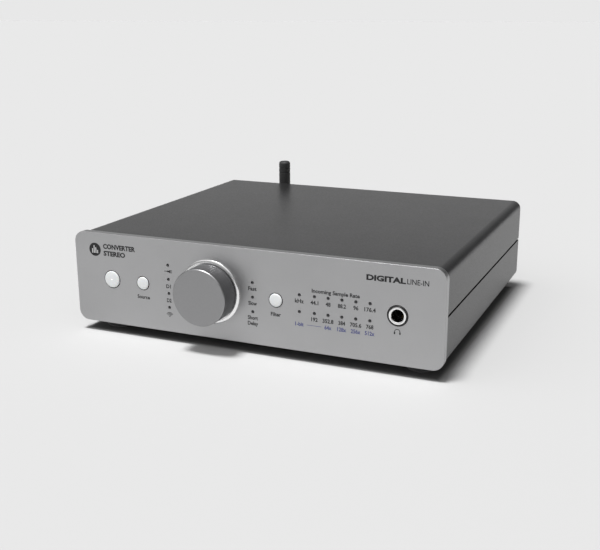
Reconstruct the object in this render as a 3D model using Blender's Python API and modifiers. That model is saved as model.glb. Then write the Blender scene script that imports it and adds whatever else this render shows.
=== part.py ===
"""A desktop digital-to-analogue converter: a thick metal front panel with a volume knob, three buttons, rows of
indicator lights and a headphone socket, two folded steel shells, and a rear panel with its sockets and antenna.

Frame: metres, +Z up. The controls face -Y, and +X is to the right of someone facing them. The origin is on the
table, under the middle of the whole object.
"""

import math

import bmesh
import bpy
from mathutils import Matrix, Vector

# ---------------------------------------------------------------- driving sizes
PANEL_W = 0.215
PANEL_H = 0.052
PANEL_T = 0.0045
PANEL_R = 0.006
PANEL_CHAMFER = 0.0004
CASE_DEPTH = 0.184
CASE_STEP = 0.001  # the shells sit this far inside the panel's edge
STEEL = 0.0012
COVER_R = 0.005
TRAY_R = 0.004
SEAM_GAP = 0.0009
LIP_RISE = 0.006
REAR_RECESS = 0.0008
FOOT_H = 0.006
FOOT_R = 0.008
FOOT_CHAMFER = 0.0008
TOUCH = 0.0003  # gap between pieces that rest on each other

# heights, from the table up
PANEL_BASE = FOOT_H
MID_Z = PANEL_BASE + PANEL_H / 2
CASE_BASE = PANEL_BASE + CASE_STEP
CASE_TOP = PANEL_BASE + PANEL_H - CASE_STEP
CASE_HALF_W = PANEL_W / 2 - CASE_STEP
FLOOR_Z = CASE_BASE + STEEL
CEILING_Z = CASE_TOP - STEEL
LINER_HALF_W = CASE_HALF_W - STEEL - TOUCH  # a plate that closes the end of the shells
LINER_R = COVER_R - STEEL - TOUCH

# volume knob and its ring
KNOB_X = -0.02165
KNOB_R = 0.0156
KNOB_PROUD = 0.0129
KNOB_SKIRT_GAP = 0.0008
KNOB_WALL = 0.002
KNOB_FACE_T = 0.002
KNOB_BOSS_R = 0.0055
KNOB_CHAMFER = 0.0005
KNOB_GROOVE = 0.0003
RING_FLANGE = 0.0022  # from the knob's side to the ring's outer edge
RING_R = KNOB_R + RING_FLANGE
RING_H = 0.001
RING_SEAT = 0.0001
RING_GAP = 0.0005
RING_SPIGOT_T = 0.0006
SHAFT_R = 0.003
SHAFT_FIT = 0.0002
SHAFT_END_CLEAR = 0.002  # between the shaft's end and the encoder's back
ENCODER_SIDE = 0.012
BUSHING_R = 0.0045
NUT_ACROSS = 0.012
NUT_T = 0.0019

# buttons: name, place along the panel, radius of the cap
BUTTONS = (("power", -0.0838, 0.00475), ("source", -0.0637, 0.0036), ("filter", 0.0171, 0.0036))
BUTTON_GAP = 0.0004
BUTTON_PROUD = 0.0006
BUTTON_CHAMFER = 0.0003
BUTTON_TRAVEL = 0.0005
BUTTON_FLANGE = 0.0012
BUTTON_FLANGE_T = 0.001
STEM_R = 0.0015
SWITCH_SIDE = 0.006
SWITCH_T = 0.0036
POWER_LAMP = (0.0016, 0.0012, 0.0016)

# indicator lights
LIGHT_R = 0.00075
LIGHT_GAP = 0.0001
LIGHT_SUNK = 0.00015
LIGHT_BAR_T = 0.0015
LIGHT_BAR_MARGIN = 0.0016
LIGHT_PITCH = 0.008
SOURCE_LIGHTS_X = -0.0473
FILTER_LIGHTS_X = 0.0037
RATE_FIRST_X = 0.0305
RATE_SECOND_X = 0.0389
RATE_PITCH_X = 0.0075
RATE_PITCH_Z = 0.009

# headphone socket
JACK_X = 0.0833
JACK_NOSE_R = 0.0052
JACK_HOLE_R = JACK_NOSE_R + TOUCH
JACK_NOSE_WALL = 0.0005
JACK_BORE_R = 0.00325
JACK_FIT = 0.00015
JACK_RING_PROUD = 0.0006
JACK_RING_CHAMFER = 0.0004
JACK_BODY = (0.015, 0.022, 0.014)
JACK_BORE_DEPTH = 0.02

# boards
BRACKET_T = 0.002
BOARD_T = 0.0016
FRONT_BOARD_BACK = 0.014  # from the panel's face to the board's front
FRONT_BOARD_X = (-0.097, 0.073)
FRONT_BOARD_H = 0.037
MAIN_BOARD_MARGIN = 0.011  # from the liner plates' sides to the board's
MAIN_BOARD_HALF_W = LINER_HALF_W - MAIN_BOARD_MARGIN
MAIN_BOARD_FRONT = 0.02
MAIN_BOARD_BACK = 0.0025  # clear of the rear panel's outer face
STANDOFF_H = 0.006
STANDOFF_R = 0.003
HEADER_X = 0.02
HEADER_H = 0.004
# what is soldered to the main board: name, radius and height, the first one's x and its distance behind the
# board's front edge, how many stand across and behind, and the steps between them
BOARD_CANS = (
    ("smoothing capacitor", 0.005, 0.016, (-0.078, 0.028), (2, 3), (0.013, 0.014)),
    ("coupling capacitor", 0.004, 0.011, (0.028, 0.095), (4, 2), (0.014, 0.014)),
)
BOARD_CHIPS = (
    ("relay", (0.010, 0.015, 0.008), (0.040, 0.065), (3, 1), (0.018, 0)),
    ("regulator heatsink", (0.016, 0.006, 0.014), (-0.045, 0.030), (1, 2), (0, 0.024)),
    ("usb receiver", (0.014, 0.014, 0.0012), (-0.028, 0.110), (1, 1), (0, 0)),
    ("upsampler", (0.020, 0.020, 0.0014), (0.0, 0.060), (1, 1), (0, 0)),
    ("clock", (0.007, 0.005, 0.002), (-0.010, 0.090), (1, 1), (0, 0)),
    ("ribbon header", (0.030, 0.005, HEADER_H), (HEADER_X, 0.007), (1, 1), (0, 0)),
)
DAC_CHIP = (0.007, 0.007, 0.001)
DAC_CHIPS = (("left", 0.030), ("right", 0.060))
DAC_CHIPS_BACK = 0.102  # from the front panel's face
WIRELESS = (0.015, 0.022, 0.0024)
RIBBON_W = 0.026
RIBBON_T = 0.0006
RIBBON_BEND = 0.0035
RIBBON_REACH = 0.007  # from the front board to the ribbon's drop
RIBBON_BELOW_MID = 0.003

# rear sockets: places along the rear panel
XLR_X = (0.086, 0.057)
LINE_OUT_X = 0.033
COAX_IN_X = 0.012
OPTICAL_X = -0.009
USB_X = -0.031
DC_X = -0.050
ANTENNA_X = -0.068
ROCKER_X = -0.092
SOCKET_PITCH_Z = 0.015  # between the upper and the lower of a stacked pair

XLR_FLANGE = (0.026, 0.002, 0.031)
XLR_FLANGE_R = 0.0035
XLR_TUBE_R = 0.010
XLR_BORE_R = 0.00815
XLR_DEPTH = 0.0175
XLR_CAVITY = 0.0155
XLR_PIN_R = 0.0012
XLR_PIN_CIRCLE = 0.0042
XLR_PIN_ANGLES = (25.0, 155.0, 270.0)
XLR_PIN_SUNK = 0.0015
XLR_TAIL = 0.003

PHONO_BLOCK = (0.0125, 0.013, 0.030)
PHONO_R = 0.00415
PHONO_WALL = 0.00095
PHONO_FLANGE_R = 0.0055
PHONO_FLANGE_T = 0.001
PHONO_PROUD = 0.008
PHONO_CORE_R = 0.0029
PHONO_CORE_BORE_R = 0.0016

OPTICAL_SIDE = 0.0104
OPTICAL_CAVITY = 0.0082
OPTICAL_CAVITY_DEPTH = 0.0098
OPTICAL_LENGTH = 0.0168
OPTICAL_PROUD = 0.0008
FLAP_T = 0.0008
FLAP_CLEAR = 0.0002
FLAP_AXIS_DOWN = 0.0007  # from the cavity's roof to the flap's hinge line
FLAP_AXIS_IN = 0.0009

USB_SHELL = (0.012, 0.0158, 0.0109)
USB_WALL = 0.0005
USB_PROUD = 0.0013
USB_POCKET = (0.0085, 0.0089, 0.0078)
USB_POCKET_R = 0.001
USB_TONGUE = (0.0056, 0.0080, 0.0031)

DC_BODY = (0.009, 0.0115, 0.011)
DC_NOSE_R = 0.004
DC_BORE_R = 0.003
DC_BORE_DEPTH = 0.0095
DC_PIN_R = 0.001
DC_PROUD = 0.0008

ROCKER_FLANGE = (0.015, 0.0016, 0.021)
ROCKER_FLANGE_R = 0.001
ROCKER_BODY = (0.013, 0.012, 0.019)
ROCKER_OPENING = (0.0114, 0.0178)
ROCKER_SIZE = (0.0108, 0.0164)
ROCKER_PROUD = 0.0022
ROCKER_SKIRT = 0.0035
ROCKER_KEEL = 0.005
ROCKER_TILT = math.radians(8)

SOCKET_HOLE_GAP = 0.0004

# antenna
AERIAL_Z = PANEL_BASE + 0.022
AERIAL_HINGE_OUT = 0.0152  # from the rear panel to the hinge line
AERIAL_ELBOW_R = 0.004
AERIAL_R = 0.004
AERIAL_RISE = 0.0427
AERIAL_SHOULDER = 0.0046
AERIAL_SLOT = 0.0032
AERIAL_TONGUE = 0.0026
AERIAL_TONGUE_R = 0.0032
AERIAL_PIN_R = 0.001
AERIAL_PIN_FIT = 0.00015
AERIAL_GROOVE = 0.0003
AERIAL_GROOVES_DOWN = (0.0048, 0.0082)  # from the rod's tip
AERIAL_DOME_R = 0.0016
SMA_BARREL_R = 0.0031
SMA_BARREL_OUT = 0.009
SMA_BARREL_IN = 0.005
SMA_HEX_T = 0.002
SMA_HEX_R = 0.0046
COLLAR_R = 0.0047
COLLAR_BACK = 0.0026
COLLAR_END = 0.011
COLLAR_END_T = 0.0016
NECK_R = 0.002

# screws
SCREW_FROM_SIDE = 0.006  # from the rear panel's side to a screw
SCREW_X = LINER_HALF_W - SCREW_FROM_SIDE
SCREW_FROM_EDGE = 0.0037  # from the rear panel's top or bottom edge to a screw
SCREW_HEAD_R = 0.0028
SCREW_HEAD_T = 0.0016
SCREW_R = 0.0014
SCREW_LENGTH = 0.007
SCREW_HOLE_GAP = 0.0003
BOSS_SIDE = 0.0075

CORNER_STEPS = 6
FINE_ROUND = 48
ROUND = 24
PIN_ROUND = 16
SMALL_ROUND = 10

# places along Y
DEPTH_OVERALL = KNOB_PROUD + CASE_DEPTH - REAR_RECESS + AERIAL_HINGE_OUT + AERIAL_ELBOW_R
PANEL_Y = KNOB_PROUD - DEPTH_OVERALL / 2
REAR_Y = PANEL_Y + CASE_DEPTH - REAR_RECESS
BRACKET_Y = PANEL_Y + PANEL_T + TOUCH
BEHIND_BRACKET_Y = BRACKET_Y + BRACKET_T + TOUCH
FRONT_BOARD_Y = PANEL_Y + FRONT_BOARD_BACK
INSIDE_REAR_Y = REAR_Y - STEEL - TOUCH
BOARD_Z = FLOOR_Z + STANDOFF_H
BOARD_TOP_Z = BOARD_Z + BOARD_T

# a turned piece is drawn along +Z and then faced to the front or the rear
FACE_FRONT = (math.radians(90), 0, 0)
FACE_REAR = (math.radians(-90), 0, 0)
ALONG = {
    "X": Matrix.Rotation(math.radians(90), 4, "Y"),
    "Y": Matrix.Rotation(math.radians(90), 4, "X"),
    "Z": Matrix.Identity(4),
}

for old in list(bpy.data.objects):
    bpy.data.objects.remove(old)

PARTS = bpy.data.collections.new("Desktop converter")
TOOLS = bpy.data.collections.new("Cutters")
bpy.context.scene.collection.children.link(PARTS)
bpy.context.scene.collection.children.link(TOOLS)


# ---------------------------------------------------------------- materials
def material(name, colour, roughness, metallic=0.0):
    made = bpy.data.materials.new(name)
    made.use_nodes = True
    shader = made.node_tree.nodes["Principled BSDF"]
    shader.inputs["Base Color"].default_value = (*colour, 1.0)
    shader.inputs["Roughness"].default_value = roughness
    shader.inputs["Metallic"].default_value = metallic
    return made


SILVER = material("anodised aluminium", (0.38, 0.38, 0.39), 0.42, 1.0)
GREY_STEEL = material("grey painted steel", (0.10, 0.10, 0.105), 0.5, 0.4)
CHROME = material("polished chrome", (0.85, 0.85, 0.86), 0.08, 1.0)
NICKEL = material("nickel plate", (0.62, 0.61, 0.58), 0.25, 1.0)
GOLD = material("gold plate", (0.83, 0.62, 0.28), 0.22, 1.0)
WHITE = material("white button", (0.85, 0.85, 0.84), 0.25)
BLACK = material("black plastic", (0.02, 0.02, 0.022), 0.45)
RUBBER = material("black rubber", (0.025, 0.025, 0.025), 0.8)
SMOKED = material("smoked light guide", (0.03, 0.03, 0.035), 0.2)
BOARD = material("circuit board", (0.02, 0.09, 0.05), 0.5)
BRASS = material("brass", (0.7, 0.55, 0.3), 0.3, 1.0)
LIGHT = material("white lamp", (0.9, 0.92, 0.95), 0.3)
RIBBON = material("grey ribbon", (0.45, 0.45, 0.45), 0.6)


# ---------------------------------------------------------------- making shapes
def place_object(name, data, place, finish):
    """Links a new object. One with no finish is a tool: it cuts or joins, and is not a piece itself."""
    obj = bpy.data.objects.new(name, data)
    obj.location = place
    if finish is None:
        obj.hide_render = True
        obj.display_type = "WIRE"
        TOOLS.objects.link(obj)
    else:
        data.materials.append(finish)
        PARTS.objects.link(obj)
    return obj


def from_bmesh(name, bm, place, finish):
    mesh = bpy.data.meshes.new(name)
    bm.to_mesh(mesh)
    bm.free()
    return place_object(name, mesh, place, finish)


def along_axis(edge, axis):
    span = edge.verts[1].co - edge.verts[0].co
    return abs(abs(span[axis]) - span.length) < 1e-7


def block(name, size, place, finish=None, radius=0.0, axis=1):
    """A box centred on place. With a radius, its four edges along axis are rounded."""
    bm = bmesh.new()
    bmesh.ops.create_cube(bm, size=1.0)
    bmesh.ops.scale(bm, vec=size, verts=bm.verts)
    if radius:
        edges = [edge for edge in bm.edges if along_axis(edge, axis)]
        bmesh.ops.bevel(
            bm, geom=edges, offset=radius, segments=CORNER_STEPS, profile=0.5, affect="EDGES"
        )
    return from_bmesh(name, bm, place, finish)


def box_between(name, low, high, finish=None, radius=0.0, axis=1):
    low, high = Vector(low), Vector(high)
    return block(name, high - low, (low + high) / 2, finish, radius, axis)


def cylinder(name, radius, length, place, finish=None, along="Y", sides=ROUND):
    bm = bmesh.new()
    bmesh.ops.create_cone(
        bm, cap_ends=True, segments=sides, radius1=radius, radius2=radius, depth=length, matrix=ALONG[along]
    )
    return from_bmesh(name, bm, place, finish)


def pegs(name, spots, radius, y_from, y_to, sides=SMALL_ROUND):
    """A tool of equal cylinders along Y, one at each (x, z) spot."""
    bm = bmesh.new()
    for x, z in spots:
        middle = Matrix.Translation((x, (y_from + y_to) / 2, z))
        bmesh.ops.create_cone(
            bm,
            cap_ends=True,
            segments=sides,
            radius1=radius,
            radius2=radius,
            depth=y_to - y_from,
            matrix=middle @ ALONG["Y"],
        )
    return from_bmesh(name, bm, (0, 0, 0), None)


def turned(name, profile, place, finish=None, facing=FACE_FRONT, sides=ROUND, ring=False):
    """A turned solid. The profile lists (radius, height) from its outer end down its outer side."""
    mesh = bpy.data.meshes.new(name)
    edges = [(i, i + 1) for i in range(len(profile) - 1)]
    if ring:
        edges.append((len(profile) - 1, 0))
    mesh.from_pydata([(radius, 0, height) for radius, height in profile], edges, [])
    obj = place_object(name, mesh, place, finish)
    obj.rotation_euler = facing
    screw = obj.modifiers.new("Turn", "SCREW")
    screw.steps = screw.render_steps = sides
    screw.use_merge_vertices = True
    screw.merge_threshold = 1e-5
    return obj


def arc(centre, radius, start, end, steps):
    """Points on an arc, from the start angle to the end angle, in degrees."""
    angles = [math.radians(start + (end - start) * i / steps) for i in range(steps + 1)]
    return [(centre[0] + radius * math.cos(a), centre[1] + radius * math.sin(a)) for a in angles]


def outline(name, points, thickness, place, finish=None):
    """A flat outline drawn in the YZ plane as (y, z), made a solid of the given thickness along X."""
    curve = bpy.data.curves.new(name, "CURVE")
    curve.dimensions = "2D"
    curve.fill_mode = "BOTH"
    curve.extrude = thickness / 2
    spline = curve.splines.new("POLY")
    spline.points.add(len(points) - 1)
    for point, (y, z) in zip(spline.points, points):
        point.co = (y, z, 0, 1)
    spline.use_cyclic_u = True
    drawn = bpy.data.objects.new(name, curve)
    drawn.rotation_euler = (math.radians(90), 0, math.radians(90))
    PARTS.objects.link(drawn)
    bpy.context.view_layer.update()
    evaluated = drawn.evaluated_get(bpy.context.evaluated_depsgraph_get())
    mesh = bpy.data.meshes.new_from_object(evaluated)
    bm = bmesh.new()
    bm.from_mesh(mesh)
    bmesh.ops.remove_doubles(bm, verts=bm.verts, dist=1e-6)
    bmesh.ops.transform(bm, matrix=drawn.matrix_world, verts=bm.verts)
    bmesh.ops.recalc_face_normals(bm, faces=bm.faces)
    bpy.data.meshes.remove(mesh)
    bpy.data.objects.remove(drawn)
    bpy.data.curves.remove(curve)
    return from_bmesh(name, bm, place, finish)


def folded_sheet(name, half_profile, y_from, y_to, finish):
    """Folded steel: the outside of half a section, as (x, z) from the middle, swept along Y and mirrored."""
    bm = bmesh.new()
    corners = [bm.verts.new((x, y_from, z)) for x, z in half_profile]
    edges = [bm.edges.new(pair) for pair in zip(corners, corners[1:])]
    swept = bmesh.ops.extrude_edge_only(bm, edges=edges)["geom"]
    moved = [item for item in swept if isinstance(item, bmesh.types.BMVert)]
    bmesh.ops.translate(bm, vec=(0, y_to - y_from, 0), verts=moved)
    obj = from_bmesh(name, bm, (0, 0, 0), finish)
    mirror = obj.modifiers.new("Mirror", "MIRROR")
    mirror.merge_threshold = 1e-5
    solidify = obj.modifiers.new("Steel", "SOLIDIFY")
    solidify.thickness = STEEL
    solidify.offset = 1
    solidify.use_even_offset = True
    return obj


def change(piece, operation, tools):
    for tool in tools:
        modifier = piece.modifiers.new(tool.name, "BOOLEAN")
        modifier.operation = operation
        modifier.object = tool


def cut(piece, *tools):
    change(piece, "DIFFERENCE", tools)


def join(piece, *tools):
    change(piece, "UNION", tools)


# ---------------------------------------------------------------- where the holes are
def light_spots():
    """The indicator lights of each group, as (x, z)."""
    source = [(SOURCE_LIGHTS_X, MID_Z + LIGHT_PITCH * (1.5 - row)) for row in range(4)]
    filters = [(FILTER_LIGHTS_X, MID_Z + LIGHT_PITCH * (1 - row)) for row in range(3)]
    columns = [RATE_FIRST_X] + [RATE_SECOND_X + RATE_PITCH_X * i for i in range(5)]
    rate = [(x, MID_Z + RATE_PITCH_Z * side) for side in (0.5, -0.5) for x in columns]
    return {"source": source, "filter": filters, "rate": rate}


def rows_of(spots):
    """Splits a group of lights into the rows, or the one column, that a single slot can pass."""
    if len({x for x, _ in spots}) == 1:
        return [spots]
    return [[spot for spot in spots if spot[1] == z] for z in sorted({z for _, z in spots})]


LIGHTS = light_spots()
ALL_LIGHTS = [spot for group in LIGHTS.values() for spot in group]
STACK_Z = {"upper": MID_Z + SOCKET_PITCH_Z / 2, "lower": MID_Z - SOCKET_PITCH_Z / 2}
LINER_Z = (FLOOR_Z + TOUCH, CEILING_Z - TOUCH)
SCREW_SPOTS = {
    "upper_left": (-SCREW_X, LINER_Z[1] - SCREW_FROM_EDGE),
    "upper_right": (SCREW_X, LINER_Z[1] - SCREW_FROM_EDGE),
    "lower_left": (-SCREW_X, LINER_Z[0] + SCREW_FROM_EDGE),
    "lower_right": (SCREW_X, LINER_Z[0] + SCREW_FROM_EDGE),
}
USB_Z = BOARD_TOP_Z + TOUCH + USB_SHELL[2] / 2
DC_Z = BOARD_TOP_Z + TOUCH + DC_BODY[2] / 2


# ---------------------------------------------------------------- casing
def make_faceplate():
    """The thick front panel: rounded corners, a fine chamfer round its face, and every hole."""
    bm = bmesh.new()
    bmesh.ops.create_cube(bm, size=1.0)
    bmesh.ops.scale(bm, vec=(PANEL_W, PANEL_T, PANEL_H), verts=bm.verts)
    corners = [edge for edge in bm.edges if along_axis(edge, 1)]
    bmesh.ops.bevel(
        bm, geom=corners, offset=PANEL_R, segments=CORNER_STEPS, profile=0.5, affect="EDGES"
    )
    face = min(bm.faces, key=lambda f: f.calc_center_median().y)
    bmesh.ops.bevel(
        bm, geom=list(face.edges), offset=PANEL_CHAMFER, segments=1, profile=0.5, affect="EDGES"
    )
    panel = from_bmesh("faceplate", bm, (0, PANEL_Y + PANEL_T / 2, MID_Z), SILVER)
    front, back = PANEL_Y - PANEL_T, PANEL_Y + 2 * PANEL_T
    cut(panel, pegs("light holes", ALL_LIGHTS, LIGHT_R + LIGHT_GAP, front, back))
    for name, x, radius in BUTTONS:
        cut(panel, pegs(f"{name} hole", [(x, MID_Z)], radius + BUTTON_GAP, front, back, ROUND))
    cut(panel, pegs("knob hole", [(KNOB_X, MID_Z)], ring_seat_radius() + RING_SEAT, front, back, ROUND))
    cut(panel, pegs("jack hole", [(JACK_X, MID_Z)], JACK_HOLE_R, front, back, ROUND))


def make_front_bracket():
    """The plate behind the front panel that carries the controls and closes the shells."""
    bracket = box_between(
        "front_bracket",
        (-LINER_HALF_W, BRACKET_Y, LINER_Z[0]),
        (LINER_HALF_W, BRACKET_Y + BRACKET_T, LINER_Z[1]),
        BLACK,
        LINER_R,
    )
    front, back = BRACKET_Y - BRACKET_T, BRACKET_Y + 2 * BRACKET_T
    for name, spots in LIGHTS.items():
        for number, row in enumerate(rows_of(spots)):
            (x_from, x_to), (z_from, z_to) = [(min(line), max(line)) for line in zip(*row)]
            reach = LIGHT_R + TOUCH
            low = (x_from - reach, front, z_from - reach)
            high = (x_to + reach, back, z_to + reach)
            cut(bracket, box_between(f"{name} slot {number}", low, high))
    for name, x, radius in BUTTONS:
        cut(bracket, pegs(f"{name} passage", [(x, MID_Z)], radius + BUTTON_GAP, front, back, ROUND))
    cut(bracket, pegs("bushing passage", [(KNOB_X, MID_Z)], BUSHING_R + TOUCH, front, back, ROUND))
    cut(bracket, pegs("jack passage", [(JACK_X, MID_Z)], JACK_NOSE_R + TOUCH, front, back, ROUND))


def make_top_cover():
    """The upper shell: top and the upper half of the sides, with a boss for each upper rear screw."""
    bend = arc((CASE_HALF_W - COVER_R, CASE_TOP - COVER_R), COVER_R, 90, 0, CORNER_STEPS)
    profile = [(0, CASE_TOP), *bend, (CASE_HALF_W, MID_Z + SEAM_GAP / 2)]
    cover = folded_sheet("top_cover", profile, PANEL_Y + PANEL_T + TOUCH, PANEL_Y + CASE_DEPTH, GREY_STEEL)
    for side in ("upper_left", "upper_right"):
        x, z = SCREW_SPOTS[side]
        boss = box_between(
            f"{side} boss",
            (x - BOSS_SIDE / 2, INSIDE_REAR_Y - BOSS_SIDE, z - BOSS_SIDE / 2),
            (x + BOSS_SIDE / 2, INSIDE_REAR_Y, CEILING_Z + STEEL / 2),
        )
        join(cover, boss)
        cut(cover, screw_bore(side))


def screw_bore(side):
    end = INSIDE_REAR_Y + TOUCH
    radius = SCREW_R + SCREW_HOLE_GAP
    return pegs(f"{side} screw bore", [SCREW_SPOTS[side]], radius, REAR_Y - SCREW_LENGTH - TOUCH, end)


def make_base_tray():
    """The lower shell. Its sides are joggled inwards at the seam, so that the cover overlaps a lip."""
    bend = arc((CASE_HALF_W - TRAY_R, CASE_BASE + TRAY_R), TRAY_R, 270, 360, CORNER_STEPS)
    seam = MID_Z - SEAM_GAP / 2
    inner = CASE_HALF_W - STEEL - TOUCH
    profile = [
        (0, CASE_BASE),
        *bend,
        (CASE_HALF_W, seam),
        (inner, seam + SEAM_GAP / 2),
        (inner, seam + LIP_RISE),
    ]
    front, rear = PANEL_Y + PANEL_T + TOUCH, PANEL_Y + CASE_DEPTH
    tray = folded_sheet("base_tray", profile[::-1], front, rear, GREY_STEEL)
    for y_from, y_to in ((front - TOUCH, BEHIND_BRACKET_Y), (INSIDE_REAR_Y, rear + TOUCH)):
        for side in (-1, 1):
            notch = block(
                f"lip notch {side} {y_to:.3f}",
                (STEEL + 3 * TOUCH, y_to - y_from, 2 * LIP_RISE),
                (side * (inner - STEEL / 2 - TOUCH), (y_from + y_to) / 2, seam + LIP_RISE / 2),
            )
            cut(tray, notch)
    for side in ("lower_left", "lower_right"):
        x, z = SCREW_SPOTS[side]
        boss = box_between(
            f"{side} boss",
            (x - BOSS_SIDE / 2, INSIDE_REAR_Y - BOSS_SIDE, FLOOR_Z - STEEL / 2),
            (x + BOSS_SIDE / 2, INSIDE_REAR_Y, z + BOSS_SIDE / 2),
        )
        join(tray, boss)
        cut(tray, screw_bore(side))
    for number, (x, y) in enumerate(standoff_spots()):
        low, high = FLOOR_Z - STEEL / 2, BOARD_Z - TOUCH
        post = cylinder(
            f"standoff {number}", STANDOFF_R, high - low, (x, y, (low + high) / 2), along="Z", sides=SMALL_ROUND
        )
        join(tray, post)


def standoff_spots():
    inset = 2 * STANDOFF_R
    front, back = PANEL_Y + MAIN_BOARD_FRONT + inset, REAR_Y - MAIN_BOARD_BACK - 2 * inset
    side = MAIN_BOARD_HALF_W - inset
    return [(x, y) for x in (-side, side) for y in (front, back)]


def make_rear_panel():
    panel = box_between(
        "rear_panel",
        (-LINER_HALF_W, REAR_Y - STEEL, LINER_Z[0]),
        (LINER_HALF_W, REAR_Y, LINER_Z[1]),
        GREY_STEEL,
        LINER_R,
    )
    front, back = REAR_Y - 2 * STEEL, REAR_Y + STEEL
    mid = (front + back) / 2

    def window(name, width, height, x, z):
        cut(panel, block(f"{name} window", (width, back - front, height), (x, mid, z)))

    def hole(name, spots, radius, sides=ROUND):
        cut(panel, pegs(f"{name} hole", spots, radius, front, back, sides))

    gap = SOCKET_HOLE_GAP
    hole("xlr", [(x, MID_Z) for x in XLR_X], XLR_TUBE_R + gap)
    hole("phono", [(x, z) for x in (LINE_OUT_X, COAX_IN_X) for z in STACK_Z.values()], PHONO_R + gap, ROUND)
    for level, z in STACK_Z.items():
        window(f"{level} optical", OPTICAL_SIDE + 2 * gap, OPTICAL_SIDE + 2 * gap, OPTICAL_X, z)
    window("usb", USB_SHELL[0] + 2 * gap, USB_SHELL[2] + 2 * gap, USB_X, USB_Z)
    hole("dc", [(DC_X, DC_Z)], DC_NOSE_R + gap, ROUND)
    hole("aerial", [(ANTENNA_X, AERIAL_Z)], SMA_BARREL_R + gap, ROUND)
    window("rocker", ROCKER_BODY[0] + 2 * gap, ROCKER_BODY[2] + 2 * gap, ROCKER_X, MID_Z)
    hole("screw", list(SCREW_SPOTS.values()), SCREW_R + SCREW_HOLE_GAP)


def make_feet():
    """Four round rubber feet, with a slightly domed edge."""
    height = CASE_BASE - TOUCH
    edge = FOOT_CHAMFER
    profile = [(0, height), (FOOT_R, height), (FOOT_R, edge), (FOOT_R - edge, 0), (0, 0)]
    inset_x, inset_y = 2.0 * FOOT_R, 2.2 * FOOT_R
    for end, y in (("front", PANEL_Y + inset_y), ("rear", REAR_Y - inset_y)):
        for side, x in (("left", inset_x - PANEL_W / 2), ("right", PANEL_W / 2 - inset_x)):
            turned(f"foot_{end}_{side}", profile, (x, y, 0), RUBBER, (0, 0, 0), ROUND)


def make_screws():
    profile = [
        (0, SCREW_HEAD_T),
        (0.7 * SCREW_HEAD_R, SCREW_HEAD_T),
        (SCREW_HEAD_R, 0.45 * SCREW_HEAD_T),
        (SCREW_HEAD_R, 0),
        (SCREW_R, 0),
        (SCREW_R, -SCREW_LENGTH),
        (0, -SCREW_LENGTH),
    ]
    for side, (x, z) in SCREW_SPOTS.items():
        turned(f"rear_screw_{side}", profile, (x, REAR_Y + TOUCH, z), NICKEL, FACE_REAR, PIN_ROUND)


# ---------------------------------------------------------------- volume control
def ring_seat_radius():
    return KNOB_R - TOUCH


def make_knob():
    """The turned knob, hollow behind, with a boss that takes the encoder's shaft."""
    front, back = KNOB_PROUD, KNOB_SKIRT_GAP
    chamfer, groove = KNOB_CHAMFER, KNOB_GROOVE
    hollow_r, bore_r = KNOB_R - KNOB_WALL, SHAFT_R + SHAFT_FIT
    profile = [
        (0, front),
        (KNOB_R - chamfer, front),
        (KNOB_R, front - chamfer),
        (KNOB_R, back + 5 * groove),
        (KNOB_R - groove, back + 5 * groove),
        (KNOB_R - groove, back + 4 * groove),
        (KNOB_R, back + 4 * groove),
        (KNOB_R, back),
        (hollow_r, back),
        (hollow_r, front - KNOB_FACE_T),
        (KNOB_BOSS_R, front - KNOB_FACE_T),
        (KNOB_BOSS_R, back + TOUCH),
        (bore_r, back + TOUCH),
        (bore_r, front - KNOB_FACE_T - TOUCH),
        (0, front - KNOB_FACE_T - TOUCH),
    ]
    turned("volume_knob", profile, (KNOB_X, PANEL_Y, MID_Z), SILVER, sides=FINE_ROUND)


def make_knob_ring():
    """The polished ring round the knob: a bevelled flange on the panel and a spigot in the panel's hole."""
    seat, floor = RING_SEAT, KNOB_SKIRT_GAP - TOUCH
    inner = KNOB_R + RING_GAP
    spigot = ring_seat_radius() - RING_SEAT
    profile = [
        (inner, RING_H),
        (inner + RING_GAP, RING_H),
        (RING_R, RING_H / 2),
        (RING_R, seat),
        (spigot, seat),
        (spigot, TOUCH - PANEL_T),
        (spigot - RING_SPIGOT_T, TOUCH - PANEL_T),
        (spigot - RING_SPIGOT_T, floor),
        (inner, floor),
    ]
    turned("knob_ring", profile, (KNOB_X, PANEL_Y, MID_Z), CHROME, sides=FINE_ROUND, ring=True)


def make_encoder():
    side = ENCODER_SIDE
    body_front = BEHIND_BRACKET_Y + TOUCH
    body_back = FRONT_BOARD_Y - TOUCH
    body = box_between(
        "encoder_body",
        (KNOB_X - side / 2, body_front, MID_Z - side / 2),
        (KNOB_X + side / 2, body_back, MID_Z + side / 2),
        NICKEL,
    )
    nose = PANEL_Y + 2 * TOUCH
    shaft_end = body_back - SHAFT_END_CLEAR
    bushing = pegs("bushing", [(KNOB_X, MID_Z)], BUSHING_R, nose, body_front + TOUCH, ROUND)
    bore = pegs("encoder bore", [(KNOB_X, MID_Z)], SHAFT_R + SHAFT_FIT, nose - TOUCH, shaft_end + TOUCH, ROUND)
    join(body, bushing)
    cut(body, bore)
    shaft_front = PANEL_Y - KNOB_PROUD + KNOB_FACE_T + 3 * TOUCH
    length = shaft_end - shaft_front
    cylinder("encoder_shaft", SHAFT_R, length, (KNOB_X, shaft_front + length / 2, MID_Z), BRASS, sides=ROUND)
    nut_y = BRACKET_Y - TOUCH - NUT_T / 2
    nut = cylinder(
        "encoder_nut", NUT_ACROSS / math.sqrt(3), NUT_T, (KNOB_X, nut_y, MID_Z), NICKEL, sides=6
    )
    cut(nut, pegs("nut bore", [(KNOB_X, MID_Z)], BUSHING_R + TOUCH, nut_y - NUT_T, nut_y + NUT_T, ROUND))


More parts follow.
